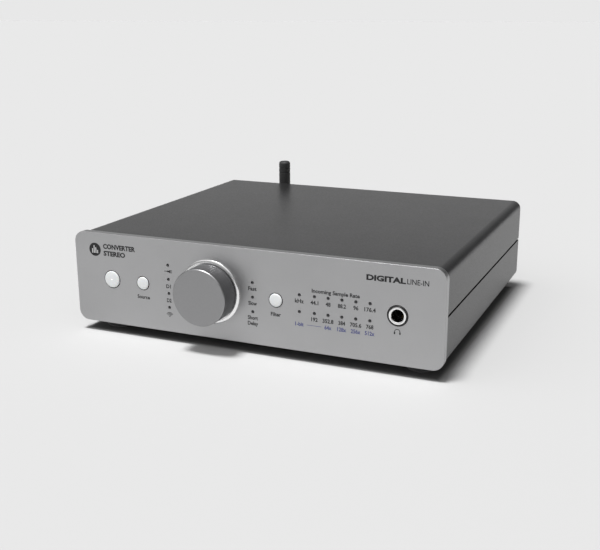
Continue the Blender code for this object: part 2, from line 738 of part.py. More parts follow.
# ---------------------------------------------------------------- buttons, lights and the headphone socket
def make_button(name, x, radius):
    """A round cap that slides through the panel, held by a flange, whose stem enters its switch."""
    flange_y = BEHIND_BRACKET_Y - PANEL_Y
    switch_y = FRONT_BOARD_BACK - TOUCH - SWITCH_T
    tip = switch_y + 3 * TOUCH
    profile = [
        (0, BUTTON_PROUD),
        (radius - BUTTON_CHAMFER, BUTTON_PROUD),
        (radius, BUTTON_PROUD - BUTTON_CHAMFER),
        (radius, -flange_y),
        (radius + BUTTON_FLANGE, -flange_y),
        (radius + BUTTON_FLANGE, -flange_y - BUTTON_FLANGE_T),
        (STEM_R, -flange_y - BUTTON_FLANGE_T),
        (STEM_R, -tip),
        (0, -tip),
    ]
    turned(f"{name}_button", profile, (x, PANEL_Y, MID_Z), WHITE)
    middle = PANEL_Y + switch_y + SWITCH_T / 2
    switch = block(f"{name}_switch", (SWITCH_SIDE, SWITCH_T, SWITCH_SIDE), (x, middle, MID_Z), BLACK)
    well_end = PANEL_Y + tip + BUTTON_TRAVEL + TOUCH
    well = pegs(f"{name} well", [(x, MID_Z)], STEM_R + TOUCH, middle - SWITCH_T, well_end, ROUND)
    cut(switch, well)


def make_power_lamp():
    """The small lamp on the front board, beside the power switch, that lights the power button's cap."""
    x = BUTTONS[0][1] - SWITCH_SIDE / 2 - POWER_LAMP[0]
    block("power_lamp", POWER_LAMP, (x, FRONT_BOARD_Y - TOUCH - POWER_LAMP[1] / 2, MID_Z), LIGHT)


def make_light_guide(name, spots):
    """One moulding for each group of lights: a bar behind the bracket, and a pin through to each light."""
    xs, zs = [x for x, _ in spots], [z for _, z in spots]
    margin = LIGHT_BAR_MARGIN
    bar_back = BEHIND_BRACKET_Y + LIGHT_BAR_T
    guide = box_between(
        f"{name}_light_guide",
        (min(xs) - margin, BEHIND_BRACKET_Y, min(zs) - margin),
        (max(xs) + margin, bar_back, max(zs) + margin),
        SMOKED,
    )
    join(guide, pegs(f"{name} pins", spots, LIGHT_R, PANEL_Y + LIGHT_SUNK, BEHIND_BRACKET_Y + LIGHT_BAR_T / 2))


def make_headphone_socket():
    """The socket's black body and nose, and the bright ferrule inside the nose."""
    body_y = BEHIND_BRACKET_Y
    width, length, height = JACK_BODY
    jack = box_between(
        "headphone_jack",
        (JACK_X - width / 2, body_y, MID_Z - height / 2),
        (JACK_X + width / 2, body_y + length, MID_Z + height / 2),
        BLACK,
    )
    at = [(JACK_X, MID_Z)]
    nose_front = PANEL_Y - 2 * RING_SEAT
    join(jack, pegs("jack nose", at, JACK_NOSE_R, nose_front, body_y + TOUCH, ROUND))
    nose_bore_r = JACK_NOSE_R - JACK_NOSE_WALL
    cut(jack, pegs("jack nose bore", at, nose_bore_r, nose_front - TOUCH, body_y - TOUCH, ROUND))
    cut(jack, pegs("jack bore", at, JACK_BORE_R, nose_front, body_y + JACK_BORE_DEPTH, ROUND))
    outer = nose_bore_r - JACK_FIT
    lip = JACK_RING_CHAMFER
    length = BRACKET_Y - PANEL_Y
    profile = [
        (JACK_BORE_R + lip, JACK_RING_PROUD),
        (outer - lip, JACK_RING_PROUD),
        (outer, JACK_RING_PROUD - lip),
        (outer, -length),
        (JACK_BORE_R, -length),
        (JACK_BORE_R, JACK_RING_PROUD - lip),
    ]
    turned("headphone_ferrule", profile, (JACK_X, PANEL_Y, MID_Z), CHROME, ring=True)


# ---------------------------------------------------------------- boards
def make_front_board():
    box_between(
        "front_board",
        (FRONT_BOARD_X[0], FRONT_BOARD_Y, MID_Z - FRONT_BOARD_H / 2),
        (FRONT_BOARD_X[1], FRONT_BOARD_Y + BOARD_T, MID_Z + FRONT_BOARD_H / 2),
        BOARD,
    )


def make_main_board():
    """The main circuit board with its soldered capacitors, relays, regulators and header."""
    y_front, y_back = PANEL_Y + MAIN_BOARD_FRONT, REAR_Y - MAIN_BOARD_BACK
    board = box_between(
        "main_board", (-MAIN_BOARD_HALF_W, y_front, BOARD_Z), (MAIN_BOARD_HALF_W, y_back, BOARD_TOP_Z), BOARD
    )
    sunk = BOARD_T / 2
    width, depth, height = PHONO_BLOCK
    for x in (LINE_OUT_X, COAX_IN_X):
        under_block = box_between(
            f"board notch {x:.3f}",
            (x - width / 2 - TOUCH, INSIDE_REAR_Y - depth - TOUCH, MID_Z - height / 2 - TOUCH),
            (x + width / 2 + TOUCH, INSIDE_REAR_Y + TOUCH, MID_Z + height / 2),
        )
        cut(board, under_block)

    def places(first, counts, steps):
        x, y = first[0], y_front + first[1]
        return [(x + i * steps[0], y + j * steps[1]) for j in range(counts[1]) for i in range(counts[0])]

    for name, radius, height, first, counts, steps in BOARD_CANS:
        z = BOARD_TOP_Z - sunk + (height + sunk) / 2
        for number, (x, y) in enumerate(places(first, counts, steps)):
            can = cylinder(
                f"{name} {number}", radius, height + sunk, (x, y, z), along="Z", sides=PIN_ROUND
            )
            join(board, can)
    for name, (width, depth, height), first, counts, steps in BOARD_CHIPS:
        z = BOARD_TOP_Z - sunk + (height + sunk) / 2
        for number, (x, y) in enumerate(places(first, counts, steps)):
            join(board, block(f"{name} {number}", (width, depth, height + sunk), (x, y, z)))


def make_board_pieces():
    z = BOARD_TOP_Z + TOUCH
    for side, x in DAC_CHIPS:
        block(f"dac_chip_{side}", DAC_CHIP, (x, PANEL_Y + DAC_CHIPS_BACK, z + DAC_CHIP[2] / 2), BLACK)
    y = REAR_Y - WIRELESS[1]
    block("wireless_module", WIRELESS, (ANTENNA_X, y, z + WIRELESS[2] / 2), NICKEL)


def make_ribbon():
    """The flat cable from the front board down to the header on the main board."""
    width, bend, across = RIBBON_W, RIBBON_BEND, RIBBON_REACH
    y, top = FRONT_BOARD_Y + BOARD_T + TOUCH, MID_Z - RIBBON_BELOW_MID
    foot_z = BOARD_TOP_Z + HEADER_H + TOUCH
    path = [
        (y, top),
        (y + across - bend, top),
        *arc((y + across - bend, top - bend), bend, 90, 0, CORNER_STEPS),
        (y + across, foot_z + bend),
        *arc((y + across + bend, foot_z + bend), bend, 180, 270, CORNER_STEPS),
    ]
    bm = bmesh.new()
    corners = [bm.verts.new((HEADER_X - width / 2, py, pz)) for py, pz in path]
    steps = [pair for pair in zip(corners, corners[1:]) if (pair[0].co - pair[1].co).length > 1e-6]
    edges = [bm.edges.new(pair) for pair in steps]
    swept = bmesh.ops.extrude_edge_only(bm, edges=edges)["geom"]
    bmesh.ops.translate(bm, vec=(width, 0, 0), verts=[v for v in swept if isinstance(v, bmesh.types.BMVert)])
    bmesh.ops.remove_doubles(bm, verts=bm.verts, dist=1e-6)
    bmesh.ops.recalc_face_normals(bm, faces=bm.faces)
    ribbon = from_bmesh("ribbon_cable", bm, (0, 0, 0), RIBBON)
    solidify = ribbon.modifiers.new("Thickness", "SOLIDIFY")
    solidify.thickness = RIBBON_T
    solidify.offset = 1
    solidify.use_even_offset = True


# ---------------------------------------------------------------- rear sockets
def make_xlr(side, x):
    """A three-pin balanced output: flanged metal shell, and an insert that carries the pins."""
    width, thickness, height = XLR_FLANGE
    face = REAR_Y + TOUCH + thickness
    shell = box_between(
        f"xlr_shell_{side}",
        (x - width / 2, face - thickness, MID_Z - height / 2),
        (x + width / 2, face, MID_Z + height / 2),
        BLACK,
        XLR_FLANGE_R,
    )
    at = [(x, MID_Z)]
    join(shell, pegs(f"xlr tube {side}", at, XLR_TUBE_R, REAR_Y - XLR_DEPTH, face - thickness / 2, ROUND))
    cut(shell, pegs(f"xlr bore {side}", at, XLR_BORE_R, REAR_Y - 2 * XLR_DEPTH, face + thickness, ROUND))
    floor = face - XLR_CAVITY
    back = REAR_Y - XLR_DEPTH
    insert = cylinder(
        f"xlr_insert_{side}", XLR_BORE_R - TOUCH, floor - back, (x, (floor + back) / 2, MID_Z), BLACK
    )
    pins = [
        (x + XLR_PIN_CIRCLE * math.cos(math.radians(a)), MID_Z + XLR_PIN_CIRCLE * math.sin(math.radians(a)))
        for a in XLR_PIN_ANGLES
    ]
    join(insert, pegs(f"xlr pins {side}", pins, XLR_PIN_R, back - XLR_TAIL, face - XLR_PIN_SUNK))


def make_phono_pair(kind, x):
    """Two stacked phono sockets: one moulded block with both cores, and a plated sleeve round each core."""
    width, depth, height = PHONO_BLOCK
    pair = box_between(
        f"{kind}_block",
        (x - width / 2, INSIDE_REAR_Y - depth, MID_Z - height / 2),
        (x + width / 2, INSIDE_REAR_Y, MID_Z + height / 2),
        BLACK,
    )
    spots = [(x, z) for z in STACK_Z.values()]
    core_end = REAR_Y + PHONO_PROUD - TOUCH
    join(pair, pegs(f"{kind} cores", spots, PHONO_CORE_R, INSIDE_REAR_Y - TOUCH, core_end, PIN_ROUND))
    cut(pair, pegs(f"{kind} contacts", spots, PHONO_CORE_BORE_R, INSIDE_REAR_Y, core_end + TOUCH))
    flange_y = TOUCH
    inner = PHONO_R - PHONO_WALL
    profile = [
        (inner, PHONO_PROUD),
        (PHONO_R - TOUCH, PHONO_PROUD),
        (PHONO_R, PHONO_PROUD - TOUCH),
        (PHONO_R, flange_y + PHONO_FLANGE_T),
        (PHONO_FLANGE_R, flange_y + PHONO_FLANGE_T),
        (PHONO_FLANGE_R, flange_y),
        (PHONO_R, flange_y),
        (PHONO_R, -STEEL),
        (inner, -STEEL),
    ]
    for level, z in STACK_Z.items():
        turned(f"{kind}_sleeve_{level}", profile, (x, REAR_Y, z), GOLD, FACE_REAR, ROUND, ring=True)


def make_optical(level, z):
    """An optical input: a square socket, and the sprung flap hung from the roof of its mouth."""
    mouth = REAR_Y + OPTICAL_PROUD
    socket = block(
        f"optical_socket_{level}",
        (OPTICAL_SIDE, OPTICAL_LENGTH, OPTICAL_SIDE),
        (OPTICAL_X, mouth - OPTICAL_LENGTH / 2, z),
        BLACK,
    )
    depth = OPTICAL_CAVITY_DEPTH
    cavity = block(
        f"{level} optical cavity",
        (OPTICAL_CAVITY, depth + TOUCH, OPTICAL_CAVITY),
        (OPTICAL_X, mouth + TOUCH - (depth + TOUCH) / 2, z),
    )
    cut(socket, cavity)
    roof = OPTICAL_CAVITY / 2
    axis_z = z + roof - FLAP_AXIS_DOWN
    above, below = FLAP_AXIS_DOWN - FLAP_CLEAR, 2 * roof - FLAP_AXIS_DOWN - FLAP_CLEAR
    bm = bmesh.new()
    bmesh.ops.create_cube(bm, size=1.0)
    bmesh.ops.scale(bm, vec=(OPTICAL_CAVITY - 2 * FLAP_CLEAR, FLAP_T, above + below), verts=bm.verts)
    bmesh.ops.translate(bm, vec=(0, 0, (above - below) / 2), verts=bm.verts)
    from_bmesh(f"optical_flap_{level}", bm, (OPTICAL_X, mouth - FLAP_AXIS_IN, axis_z), BLACK)


def make_usb():
    """The square data socket: a folded metal shell round a moulded insert with its tongue."""
    width, length, height = USB_SHELL
    mouth = REAR_Y + USB_PROUD
    shell = block("usb_shell", USB_SHELL, (USB_X, mouth - length / 2, USB_Z), NICKEL)
    hollow = (width - 2 * USB_WALL, length, height - 2 * USB_WALL)
    cut(shell, block("usb hollow", hollow, (USB_X, mouth + USB_WALL - length / 2, USB_Z)))
    cut(shell, block("usb mouth", (hollow[0], 4 * USB_WALL, hollow[2]), (USB_X, mouth, USB_Z)))
    insert_face = mouth - USB_WALL
    insert_back = mouth - length + USB_WALL + TOUCH
    insert_w, insert_h = hollow[0] - 2 * TOUCH, hollow[2] - 2 * TOUCH
    insert = box_between(
        "usb_insert",
        (USB_X - insert_w / 2, insert_back, USB_Z - insert_h / 2),
        (USB_X + insert_w / 2, insert_face, USB_Z + insert_h / 2),
        BLACK,
    )
    pocket_w, pocket_d, pocket_h = USB_POCKET
    pocket = block(
        "usb pocket",
        (pocket_w, pocket_d + TOUCH, pocket_h),
        (USB_X, insert_face + TOUCH - (pocket_d + TOUCH) / 2, USB_Z),
        radius=USB_POCKET_R,
    )
    cut(insert, pocket)
    tongue_w, tongue_l, tongue_h = USB_TONGUE
    root = insert_face - pocket_d
    tongue_y = root + (tongue_l - TOUCH) / 2
    join(insert, block("usb tongue", (tongue_w, tongue_l + TOUCH, tongue_h), (USB_X, tongue_y, USB_Z)))


def make_dc_socket():
    width, length, height = DC_BODY
    body = box_between(
        "dc_socket",
        (DC_X - width / 2, INSIDE_REAR_Y - length, DC_Z - height / 2),
        (DC_X + width / 2, INSIDE_REAR_Y, DC_Z + height / 2),
        BLACK,
    )
    at = [(DC_X, DC_Z)]
    mouth = REAR_Y + DC_PROUD
    floor = mouth - DC_BORE_DEPTH
    join(body, pegs("dc nose", at, DC_NOSE_R, INSIDE_REAR_Y - TOUCH, mouth, ROUND))
    cut(body, pegs("dc bore", at, DC_BORE_R, floor, mouth + TOUCH, ROUND))
    join(body, pegs("dc pin", at, DC_PIN_R, floor - TOUCH, mouth - 2 * TOUCH))


def make_power_rocker():
    """The rocker switch: a flanged housing, and the rocker, which rests with its upper half pressed in."""
    width, thickness, height = ROCKER_FLANGE
    face = REAR_Y + TOUCH + thickness
    frame = box_between(
        "rocker_frame",
        (ROCKER_X - width / 2, face - thickness, MID_Z - height / 2),
        (ROCKER_X + width / 2, face, MID_Z + height / 2),
        BLACK,
        ROCKER_FLANGE_R,
    )
    body_w, body_d, body_h = ROCKER_BODY
    body = box_between(
        "rocker body",
        (ROCKER_X - body_w / 2, REAR_Y - body_d, MID_Z - body_h / 2),
        (ROCKER_X + body_w / 2, face - thickness / 2, MID_Z + body_h / 2),
    )
    join(frame, body)
    opening = box_between(
        "rocker opening",
        (ROCKER_X - ROCKER_OPENING[0] / 2, REAR_Y - body_d + STEEL, MID_Z - ROCKER_OPENING[1] / 2),
        (ROCKER_X + ROCKER_OPENING[0] / 2, face + thickness, MID_Z + ROCKER_OPENING[1] / 2),
    )
    cut(frame, opening)
    rocker_w, rocker_h = ROCKER_SIZE
    half = rocker_h / 2
    points = [
        (-ROCKER_SKIRT, -half),
        (-ROCKER_KEEL, 0),
        (-ROCKER_SKIRT, half),
        (ROCKER_PROUD, half),
        (ROCKER_PROUD / 2, 0),
        (ROCKER_PROUD, -half),
    ]
    rocker = outline("power_rocker", points, rocker_w, (ROCKER_X, face - thickness / 2, MID_Z), BLACK)
    rocker.rotation_euler.x = ROCKER_TILT


# ---------------------------------------------------------------- antenna
def make_aerial_socket():
    """The threaded socket in the rear panel and the knurled collar screwed onto it."""
    barrel_length = SMA_BARREL_IN + SMA_BARREL_OUT
    middle = REAR_Y + (SMA_BARREL_OUT - SMA_BARREL_IN) / 2
    socket = cylinder("antenna_socket", SMA_BARREL_R, barrel_length, (ANTENNA_X, middle, AERIAL_Z), GOLD)
    hex_y = REAR_Y + TOUCH + SMA_HEX_T / 2
    join(socket, cylinder("socket hexagon", SMA_HEX_R, SMA_HEX_T, (ANTENNA_X, hex_y, AERIAL_Z), sides=6))
    bore = SMA_BARREL_R + TOUCH
    profile = [
        (NECK_R + TOUCH, COLLAR_END),
        (COLLAR_R - TOUCH, COLLAR_END),
        (COLLAR_R, COLLAR_END - TOUCH),
        (COLLAR_R, COLLAR_BACK),
        (bore, COLLAR_BACK),
        (bore, COLLAR_END - COLLAR_END_T),
        (NECK_R + TOUCH, COLLAR_END - COLLAR_END_T),
    ]
    turned("antenna_collar", profile, (ANTENNA_X, REAR_Y, AERIAL_Z), BLACK, FACE_REAR, ROUND, ring=True)


def make_elbow():
    """The antenna's elbow: a neck in the collar, and two ears that hold the hinge pin."""
    radius = AERIAL_ELBOW_R
    points = [(-radius, -radius), *arc((0, 0), radius, -90, 90, 10), (-radius, radius)]
    hinge = Vector((ANTENNA_X, REAR_Y + AERIAL_HINGE_OUT, AERIAL_Z))
    elbow = outline("antenna_elbow", points, 2 * radius, hinge, BLACK)
    neck_from = REAR_Y + COLLAR_END - COLLAR_END_T + TOUCH
    neck_to = hinge.y - radius + TOUCH
    join(elbow, pegs("neck", [(ANTENNA_X, AERIAL_Z)], NECK_R, neck_from, neck_to, PIN_ROUND))
    back = hinge.y - AERIAL_TONGUE_R - TOUCH
    slot = box_between(
        "elbow slot",
        (hinge.x - AERIAL_SLOT / 2, back, hinge.z - 2 * radius),
        (hinge.x + AERIAL_SLOT / 2, hinge.y + 2 * radius, hinge.z + 2 * radius),
    )
    cut(elbow, slot)
    pin_hole = AERIAL_PIN_R + AERIAL_PIN_FIT
    cut(elbow, cylinder("elbow pin hole", pin_hole, 3 * radius, hinge, along="X", sides=PIN_ROUND))
    cylinder("antenna_pin", AERIAL_PIN_R, 2 * radius, hinge, NICKEL, along="X", sides=PIN_ROUND)


def make_rod():
    """The antenna's rod: a turned stub with two grooves under its domed tip, and a tongue on the hinge pin."""
    top, radius, groove = AERIAL_RISE, AERIAL_R, AERIAL_GROOVE
    dome = arc((radius - AERIAL_DOME_R, top - AERIAL_DOME_R), AERIAL_DOME_R, 90, 0, 4)
    profile = [(0, top), *dome]
    for down in AERIAL_GROOVES_DOWN:
        profile += [
            (radius, top - down + groove),
            (radius - groove, top - down),
            (radius, top - down - groove),
        ]
    profile += [(radius, AERIAL_SHOULDER + groove), (radius - groove, AERIAL_SHOULDER), (0, AERIAL_SHOULDER)]
    hinge = (ANTENNA_X, REAR_Y + AERIAL_HINGE_OUT, AERIAL_Z)
    rod = turned("antenna_rod", profile, hinge, RUBBER, (0, 0, 0), ROUND)
    reach = AERIAL_TONGUE_R
    root = AERIAL_SHOULDER + groove
    points = [*arc((0, 0), reach, 180, 360, 10), (reach, root), (-reach, root)]
    join(rod, outline("tongue", points, AERIAL_TONGUE, hinge))
    pin_hole = AERIAL_PIN_R + AERIAL_PIN_FIT
    cut(rod, cylinder("tongue pin hole", pin_hole, 2 * AERIAL_TONGUE, hinge, along="X", sides=PIN_ROUND))


def shade_round_pieces():
    for obj in PARTS.objects:
        obj.data.shade_smooth()
        obj.data.set_sharp_from_angle(angle=math.radians(35))


def main():
    make_faceplate()
    make_front_bracket()
    make_top_cover()
    make_base_tray()
    make_rear_panel()
    make_feet()
    make_screws()
    make_knob()
    make_knob_ring()
    make_encoder()
    for name, x, radius in BUTTONS:
        make_button(name, x, radius)
    make_power_lamp()
    for name, spots in LIGHTS.items():
        make_light_guide(name, spots)
    make_headphone_socket()
    make_front_board()
    make_main_board()
    make_board_pieces()
    make_ribbon()
    for side, x in zip(("left", "right"), XLR_X):
        make_xlr(side, x)
    make_phono_pair("line_out", LINE_OUT_X)
    make_phono_pair("coax_in", COAX_IN_X)
    for level, z in STACK_Z.items():
        make_optical(level, z)
    make_usb()
    make_dc_socket()
    make_power_rocker()
    make_aerial_socket()
    make_elbow()
    make_rod()
    shade_round_pieces()


main()
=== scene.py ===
# %% [markdown]
# # A desktop audio converter
#
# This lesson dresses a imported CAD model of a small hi-fi converter: a thick aluminium front panel, two folded
# steel shells, a big volume knob, three white buttons, rows of tiny lamps, a headphone socket, and a rear
# panel full of sockets with a stub antenna. The CAD model is the frame. Every new piece takes its place from
# it.

# %% Load the frame
import math

import bmesh
import bpy
from mathutils import Matrix, Vector


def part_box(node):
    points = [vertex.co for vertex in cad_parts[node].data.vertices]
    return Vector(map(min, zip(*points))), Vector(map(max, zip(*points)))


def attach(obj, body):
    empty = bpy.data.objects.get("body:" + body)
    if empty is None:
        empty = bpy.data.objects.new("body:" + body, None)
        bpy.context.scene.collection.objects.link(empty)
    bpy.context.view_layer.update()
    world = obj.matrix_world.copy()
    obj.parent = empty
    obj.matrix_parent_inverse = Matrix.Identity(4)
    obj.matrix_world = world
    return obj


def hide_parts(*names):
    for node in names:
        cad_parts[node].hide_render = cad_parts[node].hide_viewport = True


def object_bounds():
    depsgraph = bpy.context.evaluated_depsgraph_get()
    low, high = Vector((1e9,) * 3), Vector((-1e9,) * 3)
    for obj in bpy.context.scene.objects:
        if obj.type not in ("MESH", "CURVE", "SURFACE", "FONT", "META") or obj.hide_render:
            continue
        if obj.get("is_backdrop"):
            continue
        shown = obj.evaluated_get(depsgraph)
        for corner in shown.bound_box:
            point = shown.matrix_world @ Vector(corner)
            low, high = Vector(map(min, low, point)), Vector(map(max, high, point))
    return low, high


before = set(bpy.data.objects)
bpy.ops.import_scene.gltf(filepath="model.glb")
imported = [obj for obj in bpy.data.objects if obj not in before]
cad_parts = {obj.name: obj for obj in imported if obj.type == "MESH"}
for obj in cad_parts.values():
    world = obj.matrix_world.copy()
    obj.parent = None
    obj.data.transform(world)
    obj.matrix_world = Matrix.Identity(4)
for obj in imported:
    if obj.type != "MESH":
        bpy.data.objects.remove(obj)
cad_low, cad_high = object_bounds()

mm = 0.001
print("the frame is", [round(side / mm, 1) for side in cad_high - cad_low], "mm")

# %% [markdown]
# ## Where things are
#
# Each CAD node's box gives the place of the piece that stands for it. The front panel gives the two numbers
# that nearly everything else hangs on: the plane of its face and the height of its middle.

# %% Read the main places
plate_low, plate_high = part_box("faceplate")
FACE_Y = plate_low.y
MID_Z = (plate_low.z + plate_high.z) / 2
BASE_Z = plate_low.z
rear_low, rear_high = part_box("rear_panel")
REAR_Y = rear_high.y


def middle_of(node):
    low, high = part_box(node)
    return (low + high) / 2


def size_of(node):
    low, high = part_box(node)
    return high - low


places = {"face": FACE_Y, "rear": REAR_Y, "middle height": MID_Z}
print({name: round(place / mm, 2) for name, place in places.items()})

# %% [markdown]
# ## Camera
#
# The camera stands to the right of the unit and a little above it. A lens of 56.5 mm on a full-frame sensor
# keeps the gentle perspective of a product picture. The three turns are heading, downward tilt and a trace of
# roll.

# %% Place the camera
camera = bpy.data.objects.new("camera", bpy.data.cameras.new("camera"))
camera.data.lens = 56.5
camera.data.sensor_width = 36
heading, tilt, roll = math.radians(23.685), math.radians(90 - 15.821), math.radians(-0.213)
camera.matrix_world = (
    Matrix.Translation((216.13 * mm, FACE_Y - 422.18 * mm, BASE_Z + 171.76 * mm))
    @ Matrix.Rotation(heading, 4, "Z")
    @ Matrix.Rotation(tilt, 4, "X")
    @ Matrix.Rotation(roll, 4, "Z")
)
bpy.context.scene.collection.objects.link(camera)
bpy.context.scene.camera = camera
bpy.context.scene.view_settings.view_transform = "Standard"
print("camera at", [round(part / mm) for part in camera.location])

# %% [markdown]
# ## Studio light
#
# Metal shows whatever is round it, so the room matters as much as the lamp. The world is a soft room: pale
# low down behind the unit, dark higher up behind it, bright high up in front, and darker towards the right.
# The pale band gives the satin lid its grey sheen and the dark one draws its rounded edge. One large soft
# lamp, nearly overhead and a little to the left, gives the shadow. The camera itself sees an even pale
# backdrop.

# %% Build the world
def ramp(tree, stops):
    """A colour ramp of greys from (place, brightness) pairs."""
    made = tree.nodes.new("ShaderNodeValToRGB")
    made.color_ramp.interpolation = "EASE"
    points = made.color_ramp.elements
    while len(points) < len(stops):
        points.new(0.5)
    for point, (place, grey) in zip(points, stops):
        point.position = place
        point.color = (grey, grey, grey, 1)
    return made


BACKDROP = 0.807
world = bpy.data.worlds.new("studio")
bpy.context.scene.world = world
world.use_nodes = True
tree = world.node_tree
tree.nodes.clear()
direction = tree.nodes.new("ShaderNodeTexCoord")
split = tree.nodes.new("ShaderNodeSeparateXYZ")
tree.links.new(direction.outputs["Generated"], split.inputs[0])


def map_value(source, low, high, soft=False):
    remap = tree.nodes.new("ShaderNodeMapRange")
    remap.interpolation_type = "SMOOTHSTEP" if soft else "LINEAR"
    remap.inputs["From Min"].default_value = low
    remap.inputs["From Max"].default_value = high
    tree.links.new(source, remap.inputs["Value"])
    return remap.outputs["Result"]


def mix_greys(kind, factor, one, other):
    mix = tree.nodes.new("ShaderNodeMix")
    mix.data_type = "RGBA"
    mix.blend_type = kind
    if isinstance(factor, float):
        mix.inputs["Factor"].default_value = factor
    else:
        tree.links.new(factor, mix.inputs["Factor"])
    tree.links.new(one, mix.inputs["A"])
    tree.links.new(other, mix.inputs["B"])
    return mix.outputs["Result"]


# by height above the horizon, as the sine of the angle
pale_band = [(0.0, 0.85), (0.09, 0.82), (0.17, 0.70), (0.26, 0.50), (0.34, 0.22)]
behind = ramp(tree, [*pale_band, (0.47, 0.04), (0.9, 0.04), (1.0, 0.15)])
before = ramp(tree, [(0.0, 0.28), (0.22, 0.32), (0.55, 0.95), (0.9, 1.0), (1.0, 0.5)])
for slope in (behind, before):
    tree.links.new(split.outputs["Z"], slope.inputs["Fac"])
# by side, from far left at 0 to far right at 1
sideways = map_value(split.outputs["X"], -1, 1)
behind_side = ramp(tree, [(0.0, 1.0), (0.46, 1.0), (0.62, 0.12), (1.0, 0.12)])
before_side = ramp(tree, [(0.0, 0.9), (0.5, 1.0), (0.72, 0.75), (0.95, 0.1), (1.0, 0.1)])
for slope in (behind_side, before_side):
    tree.links.new(sideways, slope.inputs["Fac"])
back_half = mix_greys("MULTIPLY", 1.0, behind.outputs["Color"], behind_side.outputs["Color"])
front_half = mix_greys("MULTIPLY", 1.0, before.outputs["Color"], before_side.outputs["Color"])
room = mix_greys("MIX", map_value(split.outputs["Y"], -0.25, 0.2, soft=True), front_half, back_half)
lit = tree.nodes.new("ShaderNodeBackground")
tree.links.new(room, lit.inputs["Color"])
seen = tree.nodes.new("ShaderNodeBackground")
seen.inputs["Color"].default_value = (BACKDROP, BACKDROP, BACKDROP, 1)
which = tree.nodes.new("ShaderNodeLightPath")
either = tree.nodes.new("ShaderNodeMixShader")
tree.links.new(which.outputs["Is Camera Ray"], either.inputs["Fac"])
tree.links.new(lit.outputs["Background"], either.inputs[1])
tree.links.new(seen.outputs["Background"], either.inputs[2])
out = tree.nodes.new("ShaderNodeOutputWorld")
tree.links.new(either.outputs["Shader"], out.inputs["Surface"])

# %% Hang the key lamp
key = bpy.data.objects.new("key lamp", bpy.data.lights.new("key lamp", "SUN"))
key.data.energy = 3.75
key.data.angle = math.radians(14)
key.rotation_euler = (math.radians(10), math.radians(-6), 0)
bpy.context.scene.collection.objects.link(key)

# %% [markdown]
# The floor is a plain pale sheet. Seen from below it lets the view through, so that the underside of the unit
# can be looked at as well. Right under the unit its colour is darker, a painted shadow, and it lets the room's
# light through to the underside.

# %% Lay the floor
bm = bmesh.new()
bmesh.ops.create_grid(bm, x_segments=1, y_segments=1, size=12)
mesh = bpy.data.meshes.new("floor")
bm.to_mesh(mesh)
bm.free()
floor = bpy.data.objects.new("floor", mesh)
bpy.context.scene.collection.objects.link(floor)
floor_paint = bpy.data.materials.new("studio floor")
floor_paint.use_nodes = True
nodes, links = floor_paint.node_tree.nodes, floor_paint.node_tree.links
paint = nodes["Principled BSDF"]
paint.inputs["Roughness"].default_value = 1.0
paint.inputs["Specular IOR Level"].default_value = 0.0


def floor_math(operation, one, other):
    """A maths node between two values, each a number or a socket."""
    made = nodes.new("ShaderNodeMath")
    made.operation = operation
    for value, socket in zip((one, other), made.inputs):
        if isinstance(value, (int, float)):
            socket.default_value = value
        else:
            links.new(value, socket)
    return made.outputs[0]


where = nodes.new("ShaderNodeTexCoord")
apart = nodes.new("ShaderNodeSeparateXYZ")
links.new(where.outputs["Object"], apart.inputs[0])
SHADE_EDGE = 6 * mm
beyond = []
for axis, (low, high) in zip("XY", ((plate_low.x, plate_high.x), (plate_low.y, rear_high.y))):
    off_centre = floor_math("SUBTRACT", apart.outputs[axis], (low + high) / 2)
    edge = nodes.new("ShaderNodeMapRange")
    edge.interpolation_type = "SMOOTHSTEP"
    edge.inputs["From Min"].default_value = (high - low) / 2 - SHADE_EDGE
    edge.inputs["From Max"].default_value = (high - low) / 2
    links.new(floor_math("ABSOLUTE", off_centre, 0), edge.inputs["Value"])
    beyond.append(edge.outputs["Result"])
outside = floor_math("MAXIMUM", *beyond)
# inside the unit's footprint the floor colour drops from 0.53 to 0.15: a painted shadow under the unit
shade = ramp(floor_paint.node_tree, [(0.0, 0.15), (1.0, 0.53)])
links.new(outside, shade.inputs["Fac"])
links.new(shade.outputs["Color"], paint.inputs["Base Color"])
facing = nodes.new("ShaderNodeNewGeometry")
seeing = nodes.new("ShaderNodeLightPath")
unseen = floor_math("SUBTRACT", 1, seeing.outputs["Is Camera Ray"])
lets_light_in = floor_math("MULTIPLY", unseen, floor_math("SUBTRACT", 1, outside))
clear = nodes.new("ShaderNodeBsdfTransparent")
one_sided = nodes.new("ShaderNodeMixShader")
links.new(floor_math("MAXIMUM", facing.outputs["Backfacing"], lets_light_in), one_sided.inputs["Fac"])
links.new(paint.outputs["BSDF"], one_sided.inputs[1])
links.new(clear.outputs["BSDF"], one_sided.inputs[2])
links.new(one_sided.outputs["Shader"], nodes["Material Output"].inputs["Surface"])
mesh.materials.append(floor_paint)
floor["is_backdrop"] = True

# %% [markdown]
# ## Finishes
#
# Every finish starts as a Principled shader with a plain colour and gets its detail from noise that is read
# in Object coordinates, in metres, so a scale of 4000 makes grains a quarter of a millimetre across. Three
# helpers are enough: one varies the colour, one varies the roughness, and one raises a bump.

# %% Helpers for finishes
def finish(name, colour, roughness, metallic=0.0, **sockets):
    made = bpy.data.materials.new(name)
    made.use_nodes = True
    shader = made.node_tree.nodes["Principled BSDF"]
    shader.inputs["Base Color"].default_value = (*colour, 1)
    shader.inputs["Roughness"].default_value = roughness
    shader.inputs["Metallic"].default_value = metallic
    for socket, value in sockets.items():
        shader.inputs[socket.replace("_", " ")].default_value = value
    return made


